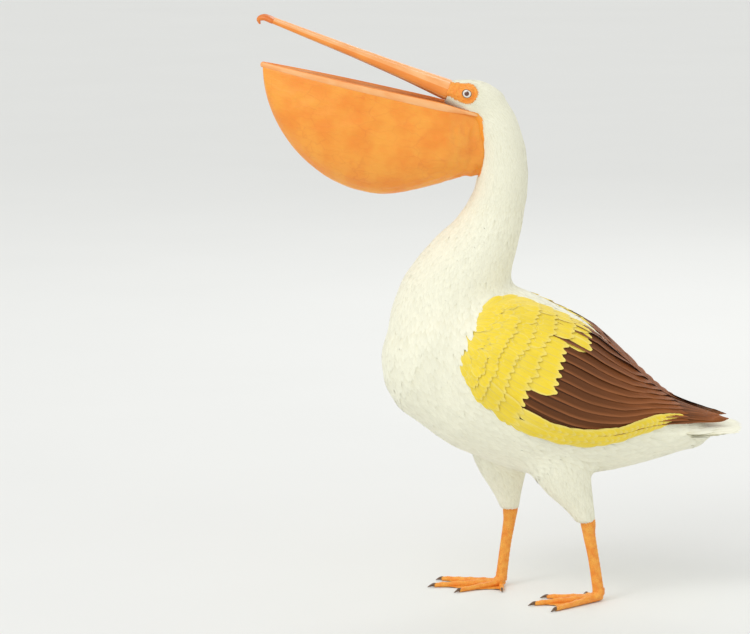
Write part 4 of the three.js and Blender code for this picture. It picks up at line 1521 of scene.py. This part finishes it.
def make_flight_feathers(name, side):
    """Long dark feathers parallel to the lower edge, whose tips end one by one at the wing's upper edge."""
    count, places = 14, 18
    order = np.arange(count)[:, None]
    inside = quill_across(order, count, steps) < 0.97
    ends = steps[inside.sum(1) - 1].clip(0.4, 0.995)[:, None]
    starts = covert_line((order + 0.5) / count) - 0.13
    along = starts + (ends - starts) * np.linspace(0, 1, places)
    across = quill_across(order, count, along).clip(0.04, 0.97)
    widths = np.interp(order[:, 0], [0, 2, count - 1], [26, 33, 36]) * MM
    lifts = (1.4 + 0.22 * order[:, 0]) * MM
    replaced = f"flight_feathers_{name}"
    wing_row(f"flight_{name}", QUILLS[side], along, across, side, widths, lifts, DARK_VANE, replaced)


def make_edge_coverts(name, side):
    """The yellow feathers along the wing's lower edge, and yellow and dark ones over its upper edge."""
    length = 52 / WING_SPAN
    low = np.arange(covert_line(0.05) - 0.03, 0.78, 0.022)
    for number, (across, lift) in enumerate(((0.115, 5.6), (0.04, 6.2))):
        along = low[:, None] + length * np.linspace(0, 1, 5)
        wide = across + rng.normal(0, 0.006, (len(low), 1)) + 0 * along
        smaller = 1 - 0.45 * smoothstep(0.62, 0.78, low)
        sizes = rng.normal(26, 0.8, len(low)) * smaller * MM
        wing_row(f"edge_{name}_{number}", EDGE, along, wide, side, sizes, lift * smaller * MM, STRAW_VANE)
    turn = covert_line(1.0)
    tones = (("pale", STRAW_VANE, 0.03, turn - 0.12), ("dark", DARK_VANE, turn - 0.1, 0.86))
    for tone, material, first, last in tones:
        high = np.arange(first, last, 0.036)
        length = np.interp(high, [0.03, 0.4, 0.86], [36, 96, 64]) / WING_SPAN
        along = high[:, None] + length[:, None] * np.linspace(0, 1, 6)
        wide = np.linspace(0.955, 1.03, 6) + rng.normal(0, 0.004, (len(high), 1))
        sizes = np.interp(high, [0.03, 0.5, 0.86], [18, 27, 18]) * MM
        lifts = np.interp(high, [0.03, 0.5, 0.86], [6.5, 5.5, 4.5]) * MM
        wing_row(f"ridge_{name}_{tone}", EDGE, along, wide, side, sizes, lifts, material)


def make_wing_tip(name, side):
    """The ends of the longest feathers, which come out from under the rest over the tail."""
    count, places = 6, 10
    order = np.arange(count)[:, None]
    shares = np.linspace(0, 1, places)
    leaves = 0.72  # the share of each feather where it leaves the wing
    along = np.broadcast_to(0.76 + 0.24 * (shares / leaves).clip(0, 1), (count, places)).ravel()
    across = (0.08 + 0.18 * order + 0 * shares).ravel()
    rise = np.tile(-5.5 + 6 * smoothstep(0, 0.6, shares), count)
    spots, above = (wing_point(along, across, side, rise + more).reshape(count, places, 3) for more in (0, 1))
    ways = unit(spots[:, 6:7] - spots[:, 4:5]) * [1, 1, 0.5]
    past = ((shares - leaves) / (1 - leaves)).clip(0)[:, None] * (34 - 4 * order[..., None]) * MM
    paths = spots + ways * past
    _, _, uvs = on_skin(paths[:, 0])
    widths, lifts = np.full(count, 17 * MM), (0.6 + 0.6 * order[:, 0]) * MM
    coat_piece(f"wing_tip_{name}", QUILLS[0], paths, unit(above - spots), widths, lifts, uvs, DARK_VANE)


# x, the middle's height, and half the height and width
TAIL_SHAPE = np.array([(160, 299, 46, 58), (210, 296, 29, 60), (260, 297, 13, 72), (308, 302, 4, 74)], float)


def tail_row(name, kind, x, y, face, widths, lifts, material, *replaced):
    """Feathers along the tail's upper side (face 1) or its underside (face -1)."""
    count, places = x.shape
    z, high, wide = (np.interp(x, TAIL_SHAPE[:, 0], TAIL_SHAPE[:, k]) for k in (1, 2, 3))
    closing = 1 - 0.85 * smoothstep(285, 325, x)
    level = z + face * (high * np.maximum(0.08, 1 - (y / (wide + 2)) ** 2) - 1.2) * closing
    paths = in_design(np.stack([x, y, level], -1).reshape(-1, 3)).reshape(count, places, 3)
    roots, _, uvs = on_skin(paths[:, 0])
    if kind is TAIL_COVERT:
        paths[:, 0] = roots
    up = np.stack([0 * x, 2 * high * y / wide**2, face + 0 * x], -1)
    coat_piece(name, kind, paths, unit(up), widths, lifts, uvs, material, *replaced)


TAIL_FEATHERS = 12  # on each side of the tail
TAIL_COVERTS = (  # where each row starts, its length, width, count and face, and the tips' lift
    (196, 98, 26, 11, 1, 2.4), (184, 84, 24, 12, 1, 3.4), (172, 72, 22, 13, 1, 4.4),
    (196, 112, 26, 11, -1, 1.6), (184, 100, 24, 12, -1, 3.2), (172, 88, 22, 13, -1, 4.8),
)  # fmt: skip


def make_tail():
    """Long feathers in a fan over and under the tail, closed at its tip, and coverts over their roots."""
    fan, shares = np.linspace(-1, 1, TAIL_FEATHERS), np.linspace(0, 1, 10)
    x = 205 + (127 - 9 * fan[:, None] ** 2) * shares
    y = fan[:, None] * (32 + 33 * shares)
    widths = np.full(TAIL_FEATHERS, 30 * MM)
    above, below = (2.4 - 2.0 * np.abs(fan)) * MM, (0.4 + 0.8 * np.abs(fan)) * MM
    tail_row("tail_feathers", QUILLS[0], x, y, 1, widths, above, TAIL_VANE, "tail")
    tail_row("tail_feathers_below", QUILLS[0], x - 7, y, -1, widths, below, TAIL_VANE)
    for number, (start, length, width, count, face, lift) in enumerate(TAIL_COVERTS):
        fan, shares = np.linspace(-1, 1, count), np.linspace(0, 1, 6)
        x = start + rng.normal(0, 2, (count, 1)) + (length - 12 * fan[:, None] ** 2) * shares
        y = fan[:, None] * (40 + 20 * shares - 5 * (number % 3))
        sizes, lifts = rng.normal(width, 1, count) * MM, np.full(count, lift * MM)
        tail_row(f"tail_coverts_{number}", TAIL_COVERT, x, y, face, sizes, lifts, WHITE_VANE)


grow_plumage()
for wing_name, wing_side in SIDES.items():
    make_flight_feathers(wing_name, wing_side)
    make_coverts(wing_name, wing_side)
    make_edge_coverts(wing_name, wing_side)
    make_wing_tip(wing_name, wing_side)
make_tail()
